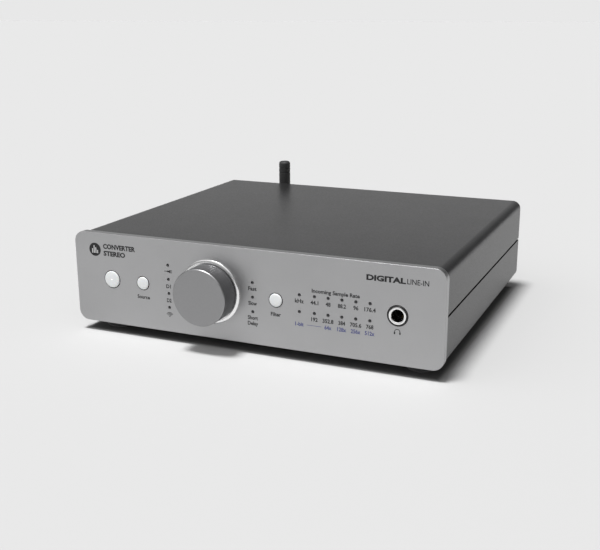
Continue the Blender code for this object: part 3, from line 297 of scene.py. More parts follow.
def noise(made, scale, detail=2.0, stretch=(1, 1, 1)):
    nodes, links = made.node_tree.nodes, made.node_tree.links
    where = nodes.new("ShaderNodeTexCoord")
    mapping = nodes.new("ShaderNodeMapping")
    mapping.inputs["Scale"].default_value = stretch
    grain = nodes.new("ShaderNodeTexNoise")
    grain.inputs["Scale"].default_value = scale
    grain.inputs["Detail"].default_value = detail
    links.new(where.outputs["Object"], mapping.inputs["Vector"])
    links.new(mapping.outputs["Vector"], grain.inputs["Vector"])
    return grain.outputs[0]


def spread(made, source, low, high):
    """Maps the middle of a noise, where nearly all of it lies, to low and high."""
    nodes, links = made.node_tree.nodes, made.node_tree.links
    remap = nodes.new("ShaderNodeMapRange")
    remap.inputs["From Min"].default_value = 0.3
    remap.inputs["From Max"].default_value = 0.7
    remap.inputs["To Min"].default_value = low
    remap.inputs["To Max"].default_value = high
    links.new(source, remap.inputs["Value"])
    return remap.outputs["Result"]


def vary_roughness(made, source, low, high):
    shader = made.node_tree.nodes["Principled BSDF"]
    made.node_tree.links.new(spread(made, source, low, high), shader.inputs["Roughness"])


def vary_colour(made, source, one, other):
    nodes, links = made.node_tree.nodes, made.node_tree.links
    mix = nodes.new("ShaderNodeMix")
    mix.data_type = "RGBA"
    mix.inputs["A"].default_value = (*one, 1)
    mix.inputs["B"].default_value = (*other, 1)
    links.new(spread(made, source, 0, 1), mix.inputs["Factor"])
    links.new(mix.outputs["Result"], nodes["Principled BSDF"].inputs["Base Color"])


def raise_bump(made, source, height, strength=1.0):
    """Adds a bump on top of any bump that the finish already has."""
    nodes, links = made.node_tree.nodes, made.node_tree.links
    shader = nodes["Principled BSDF"]
    bump = nodes.new("ShaderNodeBump")
    bump.inputs["Distance"].default_value = height
    bump.inputs["Strength"].default_value = strength
    links.new(source, bump.inputs["Height"])
    if shader.inputs["Normal"].is_linked:
        links.new(shader.inputs["Normal"].links[0].from_socket, bump.inputs["Normal"])
    links.new(bump.outputs["Normal"], shader.inputs["Normal"])


def grey(value):
    return (value, value, value)


# %% [markdown]
# The front panel is aluminium, blasted with fine beads and then anodised: a matt metal with a grain too fine
# to count, and patches a little glossier than others. The knob's sides are the same metal turned on a lathe,
# given a darker colour than the face as painted shade.

# %% Aluminium
blasted = finish("blasted aluminium", (0.455, 0.455, 0.46), 0.40, 1.0)
vary_colour(blasted, noise(blasted, 35), (0.445, 0.445, 0.45), (0.47, 0.47, 0.475))
vary_roughness(blasted, noise(blasted, 2600), 0.36, 0.46)
raise_bump(blasted, noise(blasted, 7000), 0.006 * mm, 0.6)

# The knob's face carries the rings that a lathe tool leaves, so its grain runs round the knob's own axis.
knob_middle = middle_of("volume_knob")


def rings_round(made, centre, pitch):
    """A pattern of fine rings round an axis that runs front to back through centre."""
    nodes, links = made.node_tree.nodes, made.node_tree.links
    where = nodes.new("ShaderNodeTexCoord")
    mapping = nodes.new("ShaderNodeMapping")
    mapping.inputs["Location"].default_value = (-centre.x, -centre.y, -centre.z)
    wave = nodes.new("ShaderNodeTexWave")
    wave.wave_type = "RINGS"
    wave.rings_direction = "Y"
    # the node draws a ring every 2 pi / 20 of its own units
    wave.inputs["Scale"].default_value = 2 * math.pi / (20 * pitch)
    wave.inputs["Distortion"].default_value = 0.6
    wave.inputs["Detail"].default_value = 1.0
    links.new(where.outputs["Object"], mapping.inputs["Vector"])
    links.new(mapping.outputs["Vector"], wave.inputs["Vector"])
    return wave.outputs["Fac"]


turned_face = finish("turned aluminium face", (0.33, 0.33, 0.335), 0.40, 1.0)
LATHE_PITCH = 0.377 * mm
raise_bump(turned_face, rings_round(turned_face, knob_middle, LATHE_PITCH), 0.004 * mm, 0.5)
raise_bump(turned_face, noise(turned_face, 6000), 0.005 * mm, 0.5)
vary_roughness(turned_face, noise(turned_face, 900), 0.36, 0.45)

# the sides' colour is darker than the face's: painted shade for surfaces that face away from the light
knob_side_with_painted_shade = finish("turned aluminium side with painted shade", (0.19, 0.19, 0.195), 0.58, 1.0)
raise_bump(knob_side_with_painted_shade, noise(knob_side_with_painted_shade, 300, 3, (1, 12, 1)), 0.01 * mm, 0.4)
vary_roughness(knob_side_with_painted_shade, noise(knob_side_with_painted_shade, 400, 2, (1, 9, 1)), 0.54, 0.64)

# %% [markdown]
# The shells are sheet steel with a baked dark grey powder coat. Close up, a powder coat has the skin of an
# orange, so it gets two bumps: a soft one a millimetre across and a fine one.

# %% Painted steel
powder = finish("dark powder coat", (0.015, 0.015, 0.0155), 0.33, 0.0, Specular_IOR_Level=0.65)
vary_colour(powder, noise(powder, 60, 4), (0.013, 0.013, 0.0135), (0.018, 0.018, 0.0185))
vary_roughness(powder, noise(powder, 1500), 0.30, 0.38)
raise_bump(powder, noise(powder, 900, 2), 0.012 * mm, 0.5)
raise_bump(powder, noise(powder, 4500), 0.004 * mm, 0.6)

# %% [markdown]
# Plated metals are mirrors with a tint. A trace of uneven roughness stops them from looking like glass.

# %% Plated metals
chrome = finish("polished chrome", (0.95, 0.95, 0.95), 0.2, 1.0)
vary_roughness(chrome, noise(chrome, 900), 0.15, 0.25)
nickel = finish("nickel plate", (0.60, 0.59, 0.56), 0.26, 1.0)
vary_roughness(nickel, noise(nickel, 1200), 0.26, 0.38)
raise_bump(nickel, noise(nickel, 2500), 0.0015 * mm, 0.3)
gold = finish("gold plate", (0.86, 0.62, 0.26), 0.2, 1.0)
vary_roughness(gold, noise(gold, 1500), 0.16, 0.28)
vary_colour(gold, noise(gold, 300), (0.84, 0.60, 0.25), (0.90, 0.66, 0.30))
brass = finish("turned brass", (0.66, 0.50, 0.26), 0.3, 1.0)
raise_bump(brass, noise(brass, 400, 2, (1, 10, 1)), 0.006 * mm, 0.5)

# %% [markdown]
# Plastics are dull or glossy, and a moulded one always has a fine spark-eroded texture. Rubber is the
# roughest.

# %% Plastics and rubber
white_cap = finish("white gloss cap", (0.84, 0.84, 0.835), 0.22, 0.0, Subsurface_Weight=0.05, Coat_Weight=0.2)
vary_roughness(white_cap, noise(white_cap, 1500), 0.18, 0.28)
black_plastic = finish("black moulded plastic", (0.016, 0.016, 0.017), 0.42)
vary_roughness(black_plastic, noise(black_plastic, 1800), 0.36, 0.52)
raise_bump(black_plastic, noise(black_plastic, 5000), 0.008 * mm, 0.6)
gloss_black = finish("gloss black plastic", (0.012, 0.012, 0.013), 0.12, 0.0, Coat_Weight=0.3)
vary_roughness(gloss_black, noise(gloss_black, 900), 0.08, 0.18)
rubber = finish("black rubber", (0.03, 0.03, 0.031), 0.62)
vary_roughness(rubber, noise(rubber, 700), 0.55, 0.75)
raise_bump(rubber, noise(rubber, 2800, 3), 0.02 * mm, 0.6)
smoked = finish("smoked lens", (0.010, 0.010, 0.012), 0.16, 0.0, Coat_Weight=0.5)
vary_roughness(smoked, noise(smoked, 2500), 0.12, 0.22)
tints = {"red": (0.42, 0.02, 0.02), "white": (0.72, 0.72, 0.70), "orange": (0.65, 0.20, 0.02)}
moulding = {}
for tint, colour in tints.items():
    moulding[tint] = finish(f"{tint} moulding", colour, 0.38)
    raise_bump(moulding[tint], noise(moulding[tint], 4000), 0.005 * mm, 0.5)
lamp_glow = finish(
    "lit lamp", grey(0.95), 0.3, 0.0, Emission_Color=(1, 1, 1, 1), Emission_Strength=0.35
)

# %% [markdown]
# Inks are thin and dull. The screen printing is raised by a hair, so it is a mesh of its own that rides on
# the panel.

# %% Inks
dark_ink = finish("dark ink", (0.008, 0.008, 0.009), 0.6)
vary_colour(dark_ink, noise(dark_ink, 3000), (0.006, 0.006, 0.007), (0.014, 0.014, 0.015))
blue_ink = finish("blue ink", (0.065, 0.075, 0.22), 0.5)
vary_colour(blue_ink, noise(blue_ink, 3000), (0.055, 0.065, 0.20), (0.08, 0.09, 0.25))
white_ink = finish("white ink", (0.62, 0.62, 0.62), 0.5)
vary_colour(white_ink, noise(white_ink, 3000), (0.56, 0.56, 0.56), (0.68, 0.68, 0.68))

# %% [markdown]
# ## Making shapes
#
# Nearly every piece here is either turned or cut from a block. `turned` draws half a section and spins it.
# `block` starts from a cube and rounds four of its edges. `soften` eases whatever edges are still sharp,
# because no real edge is perfectly sharp and the small highlight along it is what makes a piece look solid.

# %% Shape helpers
FACING = {
    "front": Matrix.Rotation(math.radians(90), 4, "X"),
    "rear": Matrix.Rotation(math.radians(-90), 4, "X"),
    "up": Matrix.Identity(4),
    "right": Matrix.Rotation(math.radians(90), 4, "Y"),
}


def tidy(bm):
    bmesh.ops.remove_doubles(bm, verts=bm.verts, dist=0.0005 * mm)
    bmesh.ops.recalc_face_normals(bm, faces=bm.faces)
    return bm


def turned(profile, steps=96, ring=False):
    """Spins half a section, given as (radius, height) in millimetres, round +Z."""
    bm = bmesh.new()
    corners = [bm.verts.new((radius * mm, 0, height * mm)) for radius, height in profile]
    edges = [bm.edges.new(pair) for pair in zip(corners, corners[1:])]
    if ring:
        edges.append(bm.edges.new((corners[-1], corners[0])))
    bmesh.ops.spin(
        bm,
        geom=corners + edges,
        axis=(0, 0, 1),
        cent=(0, 0, 0),
        angle=2 * math.pi,
        steps=steps,
        use_merge=True,
    )
    return tidy(bm)


def edges_front_to_back(bm):
    return [e for e in bm.edges if abs((e.verts[1].co - e.verts[0].co).y) > 0.001 * mm]


def ease(bm, edges, width, segments=2, clamp=False):
    bmesh.ops.bevel(
        bm,
        geom=edges,
        offset=width,
        segments=segments,
        profile=0.5,
        affect="EDGES",
        material=-1,
        clamp_overlap=clamp,
    )
    return bm


def block(low, high, radius=0.0, segments=10):
    """A box between two corners. With a radius, its four edges from front to back are rounded."""
    low, high = Vector(low), Vector(high)
    bm = bmesh.new()
    bmesh.ops.create_cube(bm, size=1)
    bmesh.ops.scale(bm, vec=high - low, verts=bm.verts)
    bmesh.ops.translate(bm, vec=(low + high) / 2, verts=bm.verts)
    if radius:
        ease(bm, edges_front_to_back(bm), radius, segments)
    return bm


def sharp_edges(bm, angle=30):
    return [e for e in bm.edges if e.is_manifold and e.calc_face_angle(0) > math.radians(angle)]


def soften(bm, width, segments=2, angle=30):
    return ease(bm, sharp_edges(bm, angle), width, segments, clamp=True)


def put(bm, facing, place):
    """Turns a shape that was drawn along +Z to face one way, and moves it to its place."""
    bmesh.ops.transform(bm, matrix=Matrix.Translation(place) @ FACING[facing], verts=bm.verts)
    return bm


def gather(first, *others):
    """Puts the shapes of several bmeshes in the first one."""
    for other in others:
        spare = bpy.data.meshes.new("spare")
        other.to_mesh(spare)
        other.free()
        first.from_mesh(spare)
        bpy.data.meshes.remove(spare)
    return first


def coloured(bm, number):
    """Gives all of a shape one of its piece's finishes, by number."""
    for face in bm.faces:
        face.material_index = number
    return bm


def rod(radius, length, facing, place, sides=32):
    """A plain pin whose middle is at place, used to cut holes and to make small pins."""
    bm = bmesh.new()
    bmesh.ops.create_cone(bm, cap_ends=True, segments=sides, radius1=radius, radius2=radius, depth=length)
    return put(bm, facing, place)


def as_object(bm, name):
    mesh = bpy.data.meshes.new(name)
    bm.to_mesh(mesh)
    bm.free()
    made = bpy.data.objects.new(name, mesh)
    bpy.context.scene.collection.objects.link(made)
    return made


def cut(bm, *tools):
    """Takes the tools' shapes out of a shape, all in one go, so they must not touch each other."""
    workpiece, tool = as_object(bm, "workpiece"), as_object(gather(bmesh.new(), *tools), "tool")
    boolean = workpiece.modifiers.new("cut", "BOOLEAN")
    boolean.object = tool
    boolean.solver = "EXACT"
    graph = bpy.context.evaluated_depsgraph_get()
    result = bpy.data.meshes.new_from_object(workpiece.evaluated_get(graph))
    made = bmesh.new()
    made.from_mesh(result)
    for spare in (workpiece, tool):
        data = spare.data
        bpy.data.objects.remove(spare)
        bpy.data.meshes.remove(data)
    bpy.data.meshes.remove(result)
    return made


# %% [markdown]
# `make_piece` ends every piece the same way: doubles merged, normals pointing out, smooth shading with sharp
# corners kept, and weighted normals so that flat faces stay flat beside their bevels. It then hangs the piece
# from the empty of the body that carries it and hides the CAD nodes it stands for.

# %% Finish a piece
SHARP = math.radians(38)


def make_piece(bm, name, body, finishes, slot, *stands_for):
    made = as_object(tidy(bm), name)
    for one in finishes if isinstance(finishes, (list, tuple)) else [finishes]:
        made.data.materials.append(one)
    made.data.shade_smooth()
    made.data.set_sharp_from_angle(angle=SHARP)
    weigh = made.modifiers.new("flat faces stay flat", "WEIGHTED_NORMAL")
    weigh.keep_sharp = True
    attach(made, body)
    if stands_for:
        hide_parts(*stands_for)
    print(name, "rides on", body, "with", len(made.data.polygons), "faces")
    return made


# %% [markdown]
# ## Indicator lights
#
# The little lamps are pins of smoked plastic, moulded in one strip for each group. The strips' boxes say
# where the pins are: each strip stands a fixed margin outside its pins.

# %% Find the lights
LIGHT_R = 0.75
STRIP_MARGIN = 1.6 * mm


def lights_of(node, columns, pitch_z):
    low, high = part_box(node)
    xs = [low.x + STRIP_MARGIN + step for step in columns]
    rows = round((high.z - low.z - 2 * STRIP_MARGIN) / pitch_z)
    return [(x, high.z - STRIP_MARGIN - row * pitch_z) for row in range(rows + 1) for x in xs]


source_lights = lights_of("source_light_guide", [0], 8 * mm)
filter_lights = lights_of("filter_light_guide", [0], 8 * mm)
rate_columns = [0, 8.4 * mm, 15.9 * mm, 23.4 * mm, 30.9 * mm, 38.4 * mm]
rate_lights = lights_of("rate_light_guide", rate_columns, 9 * mm)
print(len(source_lights), len(filter_lights), len(rate_lights), "lights")

# %% [markdown]
# ## Front panel
#
# A slab 4.5 mm thick with rounded corners. Its front edge is rounded off by a fifth of a millimetre, which
# draws the fine bright line round the face. The holes are cut last, all with one tool, and then eased.

# %% Make the front panel
BUTTON_FLANGE = 1.2 * mm
buttons = {}
for name in ("power", "source", "filter"):
    centre = middle_of(f"{name}_button")
    buttons[name] = (centre.x, centre.z, size_of(f"{name}_button").x / 2 - BUTTON_FLANGE)
jack_low, jack_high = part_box("headphone_jack")
jack_x = (jack_low.x + jack_high.x) / 2
KNOB_HOLE_R = 15.4 * mm
JACK_HOLE_R = 5.5 * mm
LIGHT_HOLE_R = (LIGHT_R + 0.1) * mm
BUTTON_GAP = 0.4 * mm
CORNER_R = 6 * mm
FRONT_EDGE, BACK_EDGE, HOLE_EDGE = 0.18 * mm, 0.3 * mm, 0.12 * mm
THROUGH = 20 * mm

panel = block(plate_low, plate_high, radius=CORNER_R, segments=16)
face = min(panel.faces, key=lambda f: f.calc_center_median().y)
ease(panel, list(face.edges), FRONT_EDGE, 3)
face = max(panel.faces, key=lambda f: f.calc_center_median().y)
ease(panel, list(face.edges), BACK_EDGE)
every_light = source_lights + filter_lights + rate_lights
holes = [rod(LIGHT_HOLE_R, THROUGH, "front", (x, FACE_Y, z), 20) for x, z in every_light]
holes += [rod(r + BUTTON_GAP, THROUGH, "front", (x, FACE_Y, z), 64) for x, z, r in buttons.values()]
holes.append(rod(KNOB_HOLE_R, THROUGH, "front", (knob_middle.x, FACE_Y, MID_Z), 96))
holes.append(rod(JACK_HOLE_R, THROUGH, "front", (jack_x, FACE_Y, MID_Z), 64))
panel = cut(panel, *holes)


def rims_at(bm, y):
    """The sharp edges that lie in the plane at y."""
    return [e for e in sharp_edges(bm, 60) if all(abs(v.co.y - y) < 0.01 * mm for v in e.verts)]


ease(panel, rims_at(panel, FACE_Y), HOLE_EDGE)
make_piece(panel, "front_panel", "casing", blasted, "silver_aluminium", "faceplate")

# %% [markdown]
# ## Lamp strips
#
# One strip for each group: a thin bar behind the panel and a pin for each lamp. Each pin ends in a low dome
# just under the face of the panel.

# %% Make the lamp strips
PIN_SUNK = 0.12


def lamp_pin(x, z, back_y):
    length = (back_y - FACE_Y) / mm
    dome = [(0, -PIN_SUNK), (0.3, -PIN_SUNK - 0.02), (0.55, -PIN_SUNK - 0.08), (LIGHT_R, -PIN_SUNK - 0.22)]
    return put(turned([*dome, (LIGHT_R, -length), (0, -length)], 20), "front", (x, FACE_Y, z))


for group, spots in (("source", source_lights), ("filter", filter_lights), ("rate", rate_lights)):
    low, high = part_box(f"{group}_light_guide")
    strip = block((low.x, high.y - 1.5 * mm, low.z), high, radius=0.8 * mm)
    soften(strip, 0.15 * mm)
    strip = gather(strip, *[lamp_pin(x, z, high.y - 1.4 * mm) for x, z in spots])
    make_piece(strip, f"{group}_lamps", "casing", smoked, "smoked_guide", f"{group}_light_guide")

# %% [markdown]
# ## Volume knob
#
# Turned from one bar: a flat face, a bright cut edge round it, plain sides, and a groove near the foot. It is
# hollow behind, with a boss that takes the shaft. The ring round it is polished and has a rounded top.

# %% Make the knob and its ring
KNOB_R = 15.6
knob_front = (FACE_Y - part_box("volume_knob")[0].y) / mm
profile = [
    (0, knob_front),
    (KNOB_R - 0.45, knob_front),
    (KNOB_R, knob_front - 0.45),
    (KNOB_R, 2.35),
    (KNOB_R - 0.3, 2.3),
    (KNOB_R - 0.3, 2.0),
    (KNOB_R, 1.95),
    (KNOB_R, 0.8),
    (13.6, 0.8),
    (13.6, knob_front - 2),
    (5.5, knob_front - 2),
    (5.5, 1.1),
    (3.2, 1.1),
    (3.2, knob_front - 2.3),
    (0, knob_front - 2.3),
]
knob = coloured(turned(profile, 160), 1)
for face in knob.faces:
    centre = face.calc_center_median()
    radius = math.hypot(centre.x, centre.y)
    if centre.z > (knob_front - 0.5) * mm and radius < (KNOB_R - 0.02) * mm:
        face.material_index = 0
soften(knob, 0.09 * mm, 2)
put(knob, "front", (knob_middle.x, FACE_Y, MID_Z))
make_piece(knob, "volume_dial", "knob", [turned_face, knob_side_with_painted_shade], "silver_aluminium", "volume_knob")

RING_R = 17.8
profile = [
    (16.1, 0.8),
    (16.2, 0.97),
    (16.35, 1.0),
    (17.0, 0.9),
    (17.65, 0.62),
    (RING_R, 0.4),
    (RING_R, 0.1),
    (15.2, 0.1),
    (15.2, -4.2),
    (14.6, -4.2),
    (14.6, 0.5),
    (16.1, 0.5),
]
ring = put(turned(profile, 160, ring=True), "front", (knob_middle.x, FACE_Y, MID_Z))
make_piece(ring, "bright_ring", "casing", chrome, "chrome", "knob_ring")

# %% [markdown]
# ## Buttons
#
# White caps with a soft edge and the faintest dome, each in a hole with a gap round it. Behind the panel a
# flange stops the cap from falling out, and a stem reaches the switch. Only the cap's face is white: its skirt
# inside the hole is coloured black as painted shade, which draws the dark line round it. The power button has
# a small lit window.

# %% Make the buttons
FLANGE_AT, STEM_R = 7.1, 1.5
for name, (x, z, radius) in buttons.items():
    low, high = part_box(f"{name}_button")
    rise, tip = (FACE_Y - low.y) / mm, (high.y - FACE_Y) / mm
    r, flange_r = radius / mm, (radius + BUTTON_FLANGE) / mm
    dome = [(0, rise), (0.4 * r, rise - 0.01), (0.75 * r, rise - 0.05), (r - 0.35, rise - 0.12)]
    edge = [(r - 0.14, rise - 0.2), (r - 0.03, rise - 0.36), (r, rise - 0.6)]
    flange = [(r, -FLANGE_AT), (flange_r, -FLANGE_AT), (flange_r, -FLANGE_AT - 1)]
    stem = [(STEM_R, -FLANGE_AT - 1), (STEM_R, -tip), (0, -tip)]
    cap = turned([*dome, *edge, *flange, *stem], 64)
    # the skirt inside the hole, and all behind the panel's face, takes black plastic: painted shade for the gap
    # round the cap
    for face in cap.faces:
        if face.calc_center_median().z < 0:
            face.material_index = 2
    put(cap, "front", (x, FACE_Y, z))
    finishes = [white_cap, lamp_glow, black_plastic]
    if name == "power":
        window = turned([(0, rise + 0.03), (0.35, rise + 0.01), (0.55, rise - 0.06), (0, rise - 0.1)], 32)
        cap = gather(cap, coloured(put(window, "front", (x, FACE_Y, z)), 1))
    make_piece(cap, f"{name}_cap", f"{name}_key", finishes, "white_cap", f"{name}_button")

# %% [markdown]
# ## Headphone socket
#
# A black nose in the panel's hole, a bright ferrule inside it, and a deep dark bore with two sprung contacts.

# %% Make the headphone socket
BORE_R, NOSE_R = 3.25, 5.2
BODY_AT = 7.1
body = block((jack_low.x, FACE_Y + BODY_AT * mm, jack_low.z), jack_high, radius=0.8 * mm)
body = cut(body, rod(BORE_R * mm, 40 * mm, "front", (jack_x, FACE_Y + BODY_AT * mm, MID_Z), 48))
soften(body, 0.2 * mm)
profile = [(NOSE_R - 0.5, 0.2), (NOSE_R - 0.1, 0.2), (NOSE_R, 0.1)]
profile += [(NOSE_R, -BODY_AT), (NOSE_R - 0.5, -BODY_AT)]
nose = put(turned(profile, 96, ring=True), "front", (jack_x, FACE_Y, MID_Z))
leaves = []
for side in (-1, 1):
    leaf_z = MID_Z + side * 2.75 * mm
    low = (jack_x - 0.8 * mm, FACE_Y + 9 * mm, leaf_z - 0.15 * mm)
    high = (jack_x + 0.8 * mm, FACE_Y + 20 * mm, leaf_z + 0.15 * mm)
    leaves.append(coloured(block(low, high), 1))
bore_end = turned([(0, 0), (BORE_R + 0.1, 0), (BORE_R + 0.1, -0.5), (0, -0.5)], 48)
put(bore_end, "front", (jack_x, jack_high.y - 1 * mm, MID_Z))
jack = gather(body, nose, bore_end, *leaves)
make_piece(jack, "headphone_body", "casing", [black_plastic, gold], "black_plastic", "headphone_jack")

ferrule_low, ferrule_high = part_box("headphone_ferrule")
outer = (ferrule_high.x - ferrule_low.x) / 2 / mm
proud = (FACE_Y - ferrule_low.y) / mm
profile = [
    (BORE_R + 0.02, proud - 0.9),
    (BORE_R + 0.1, proud - 0.3),
    (BORE_R + 0.35, proud - 0.06),
    (BORE_R + 0.6, proud),
    (outer - 0.3, proud),
    (outer - 0.08, proud - 0.12),
    (outer, proud - 0.35),
    (outer, -4.8),
    (BORE_R, -4.8),
]
ferrule = put(turned(profile, 96, ring=True), "front", (jack_x, FACE_Y, MID_Z))
make_piece(ferrule, "headphone_ring", "casing", chrome, "chrome", "headphone_ferrule")

# %% [markdown]
# ## Shells
#
# The two shells are folded from 1.2 mm sheet. Half a section is drawn, swept from front to back, mirrored and
# given its thickness. The upper one wraps the top and the upper half of the sides. The lower one has a lip,
# joggled inwards, that the upper one closes over, and the gap between them is the dark line along the sides.
# The lip above the seam is coloured near-black, a painted shade that darkens that gap.

# %% Make the shells
STEEL = 1.2 * mm
cover_low, cover_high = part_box("top_cover")
tray_low, tray_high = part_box("base_tray")


def bend(x, z, radius, start, end, steps=14):
    angles = [math.radians(start + (end - start) * step / steps) for step in range(steps + 1)]
    return [(x + radius * math.cos(a), z + radius * math.sin(a)) for a in angles]


def folded(half_section, y_from, y_to):
    """Sweeps half a section, as (x, z), along Y, mirrors it and gives it the sheet's thickness inwards."""
    bm = bmesh.new()
    corners = [bm.verts.new((x, y_from, z)) for x, z in half_section]
    edges = [bm.edges.new(pair) for pair in zip(corners, corners[1:])]
    swept = bmesh.ops.extrude_edge_only(bm, edges=edges)["geom"]
    moved = [item for item in swept if isinstance(item, bmesh.types.BMVert)]
    bmesh.ops.translate(bm, vec=(0, y_to - y_from, 0), verts=moved)
    everything = bm.verts[:] + bm.edges[:] + bm.faces[:]
    bmesh.ops.mirror(bm, geom=everything, axis="X", merge_dist=0.001 * mm)
    tidy(bm)
    return bm


def with_thickness(made):
    shell = made.modifiers.new("sheet thickness", "SOLIDIFY")
    shell.thickness = STEEL
    shell.offset = -1
    shell.use_even_offset = True
    ease = made.modifiers.new("eased edges", "BEVEL")
    ease.width = 0.18 * mm
    ease.segments = 2
    ease.limit_method = "ANGLE"
    ease.angle_limit = math.radians(50)
    made.modifiers.move(made.modifiers.find("flat faces stay flat"), len(made.modifiers) - 1)


side_x = cover_high.x
HALF_GAP = 0.55 * mm
TOP_R, BOTTOM_R = 5 * mm, 4 * mm
section = [
    (0, cover_high.z),
    *bend(side_x - TOP_R, cover_high.z - TOP_R, TOP_R, 90, 0),
    (side_x, MID_Z + HALF_GAP),
]
upper = folded(section, cover_low.y, cover_high.y)
upper_shell = make_piece(upper, "upper_shell", "casing", powder, "grey_steel", "top_cover")
with_thickness(upper_shell)

seam = MID_Z - HALF_GAP
inner = side_x - STEEL - 0.3 * mm
section = [
    (0, tray_low.z),
    *bend(side_x - BOTTOM_R, tray_low.z + BOTTOM_R, BOTTOM_R, 270, 360),
    (side_x, seam),
    (inner, seam + HALF_GAP),
    (inner, seam + 6 * mm),
]
lower = folded(section, tray_low.y, tray_high.y)
# the lip above the seam is coloured near-black: painted shade in the gap between the shells
for face in lower.faces:
    if face.calc_center_median().z > seam:
        face.material_index = 1
painted_seam_shade = finish("painted seam shade", grey(0.004), 0.9, 0.0, Specular_IOR_Level=0.1)
lower_shell = make_piece(lower, "lower_shell", "casing", [powder, painted_seam_shade], "grey_steel", "base_tray")
with_thickness(lower_shell)

# %% [markdown]
# ## Feet
#
# Four round rubber feet, with a rounded sole and a recess for the screw that holds each one.

# %% Make the feet
SIDES = ("left", "right")
for end in ("front", "rear"):
    for side in SIDES:
        low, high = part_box(f"foot_{end}_{side}")
        r, tall = (high.x - low.x) / 2 / mm, (high.z - low.z) / mm
        sole = [(0, tall), (r, tall), (r, 1.0), (r - 0.25, 0.35), (r - 0.9, 0.0)]
        recess = [(3.4, 0), (3.1, 0.4), (3.1, 2.6), (0, 2.6)]
        foot = turned([*sole, *recess], 64)
        screw = coloured(turned([(0, 2.4), (2.4, 2.4), (2.6, 2.0), (2.6, 1.6), (2.2, 1.2), (0, 1.0)], 32), 1)
        foot = gather(foot, screw)
        put(foot, "up", ((low.x + high.x) / 2, (low.y + high.y) / 2, low.z))
        name, node = f"rubber_foot_{end}_{side}", f"foot_{end}_{side}"
        make_piece(foot, name, "casing", [rubber, nickel], "black_rubber", node)

# %% [markdown]
# ## Printing on the front
#
# The words are text curves made into a mesh, sized by the height of a capital letter. They lie a hair in
# front of the panel. Each word hangs from the lamp or button that it names.

# %% Lettering helpers
INK_LIFT = 0.02 * mm


def text_shape(words, weight=0.0):
    """Flat letters one unit of capital height tall, centred, as a bmesh in the XY plane."""
    curve = bpy.data.curves.new("words", "FONT")
    curve.body = words
    curve.align_x = "CENTER"
    curve.offset = weight
    curve.resolution_u = 3
    drawn = bpy.data.objects.new("words", curve)
    bpy.context.scene.collection.objects.link(drawn)
    graph = bpy.context.evaluated_depsgraph_get()
    mesh = bpy.data.meshes.new_from_object(drawn.evaluated_get(graph))
    bm = bmesh.new()
    bm.from_mesh(mesh)
    bpy.data.objects.remove(drawn)
    bpy.data.curves.remove(curve)
    bpy.data.meshes.remove(mesh)
    return bm


def breadth(bm):
    xs = [v.co.x for v in bm.verts]
    return max(xs) - min(xs)


probe = text_shape("H")
CAPITAL = max(v.co.y for v in probe.verts)
probe.free()


def lettering(words, x, z, capital, width=None, weight=0.0, facing="front"):
    """Words whose middle is at x and half way up the capitals at z."""
    bm = text_shape(words, weight)
    tall = capital * mm / CAPITAL
    wide = width * mm / breadth(bm) if width else tall
    middle = (max(v.co.x for v in bm.verts) + min(v.co.x for v in bm.verts)) / 2
    bmesh.ops.translate(bm, vec=(-middle, -CAPITAL / 2, 0), verts=bm.verts)
    bmesh.ops.scale(bm, vec=(wide, tall, 1), verts=bm.verts)
    if facing == "rear":
        bmesh.ops.rotate(bm, cent=(0, 0, 0), matrix=Matrix.Rotation(math.pi, 3, "Z"), verts=bm.verts)
        return put(bm, "rear", (x, REAR_Y + INK_LIFT, z))
    return put(bm, "front", (x, FACE_Y - INK_LIFT, z))


def flat_band(points, width):
    """A flat line of even width through (x, z) points in millimetres, lying on the front panel."""
    bm = bmesh.new()
    for (xa, za), (xb, zb) in zip(points, points[1:]):
        length = math.hypot(xb - xa, zb - za)
        bit = bmesh.ops.create_grid(bm, x_segments=1, y_segments=1, size=0.5)["verts"]
        bmesh.ops.scale(bm, vec=(length + width * 0.5, width, 1), verts=bit)
        turn = Matrix.Rotation(math.atan2(zb - za, xb - xa), 3, "Z")
        bmesh.ops.rotate(bm, cent=(0, 0, 0), matrix=turn, verts=bit)
        bmesh.ops.translate(bm, vec=((xa + xb) / 2, (za + zb) / 2, 0), verts=bit)
    bmesh.ops.scale(bm, vec=(mm, mm, mm), verts=bm.verts)
    return bm


def flat_disc(radius, sides=48):
    bm = bmesh.new()
    bmesh.ops.create_circle(bm, cap_ends=True, segments=sides, radius=radius * mm)
    return bm


def on_face(bm, x, z, lift=1.0):
    return put(bm, "front", (x, FACE_Y - lift * INK_LIFT, z))


# %% Draw the words and signs
def above_base(z_mm):
    """Height of a point z_mm above the panel's lower edge."""
    return BASE_Z + z_mm * mm


BADGE_R, TITLE, NAME, WORD = 3.8, 2.5, 2.6, 2.0
BOLD, SMALL, THIN = 0.045, 0.03, 0.012
ink, blue = [], []
# a round badge with a level meter in it, and two plain words beside it
badge_x, badge_z = plate_low.x + 13.2 * mm, above_base(42.3)
ink.append(on_face(flat_disc(BADGE_R), badge_x, badge_z))
bars = []
for number, tall in enumerate((2.2, 4.0, 2.9, 1.5)):
    bar = flat_band([(-1.65 + 1.1 * number, -1.9), (-1.65 + 1.1 * number, -1.9 + tall)], 0.62)
    bars.append(on_face(bar, badge_x, badge_z, 2.0))
words_left = plate_low.x + 18.6 * mm
ink.append(lettering("CONVERTER", words_left + 10.6 * mm, above_base(44.6), TITLE, 21.0, BOLD))
ink.append(lettering("STEREO", words_left + 7.3 * mm, above_base(40.6), TITLE, 14.2, BOLD))
ink.append(lettering("DIGITAL", plate_high.x - 30.6 * mm, above_base(44.1), NAME, 20.4, 0.05))
ink.append(lettering("LINE-IN", plate_high.x - 14.3 * mm, above_base(44.1), NAME, 11.0, THIN))

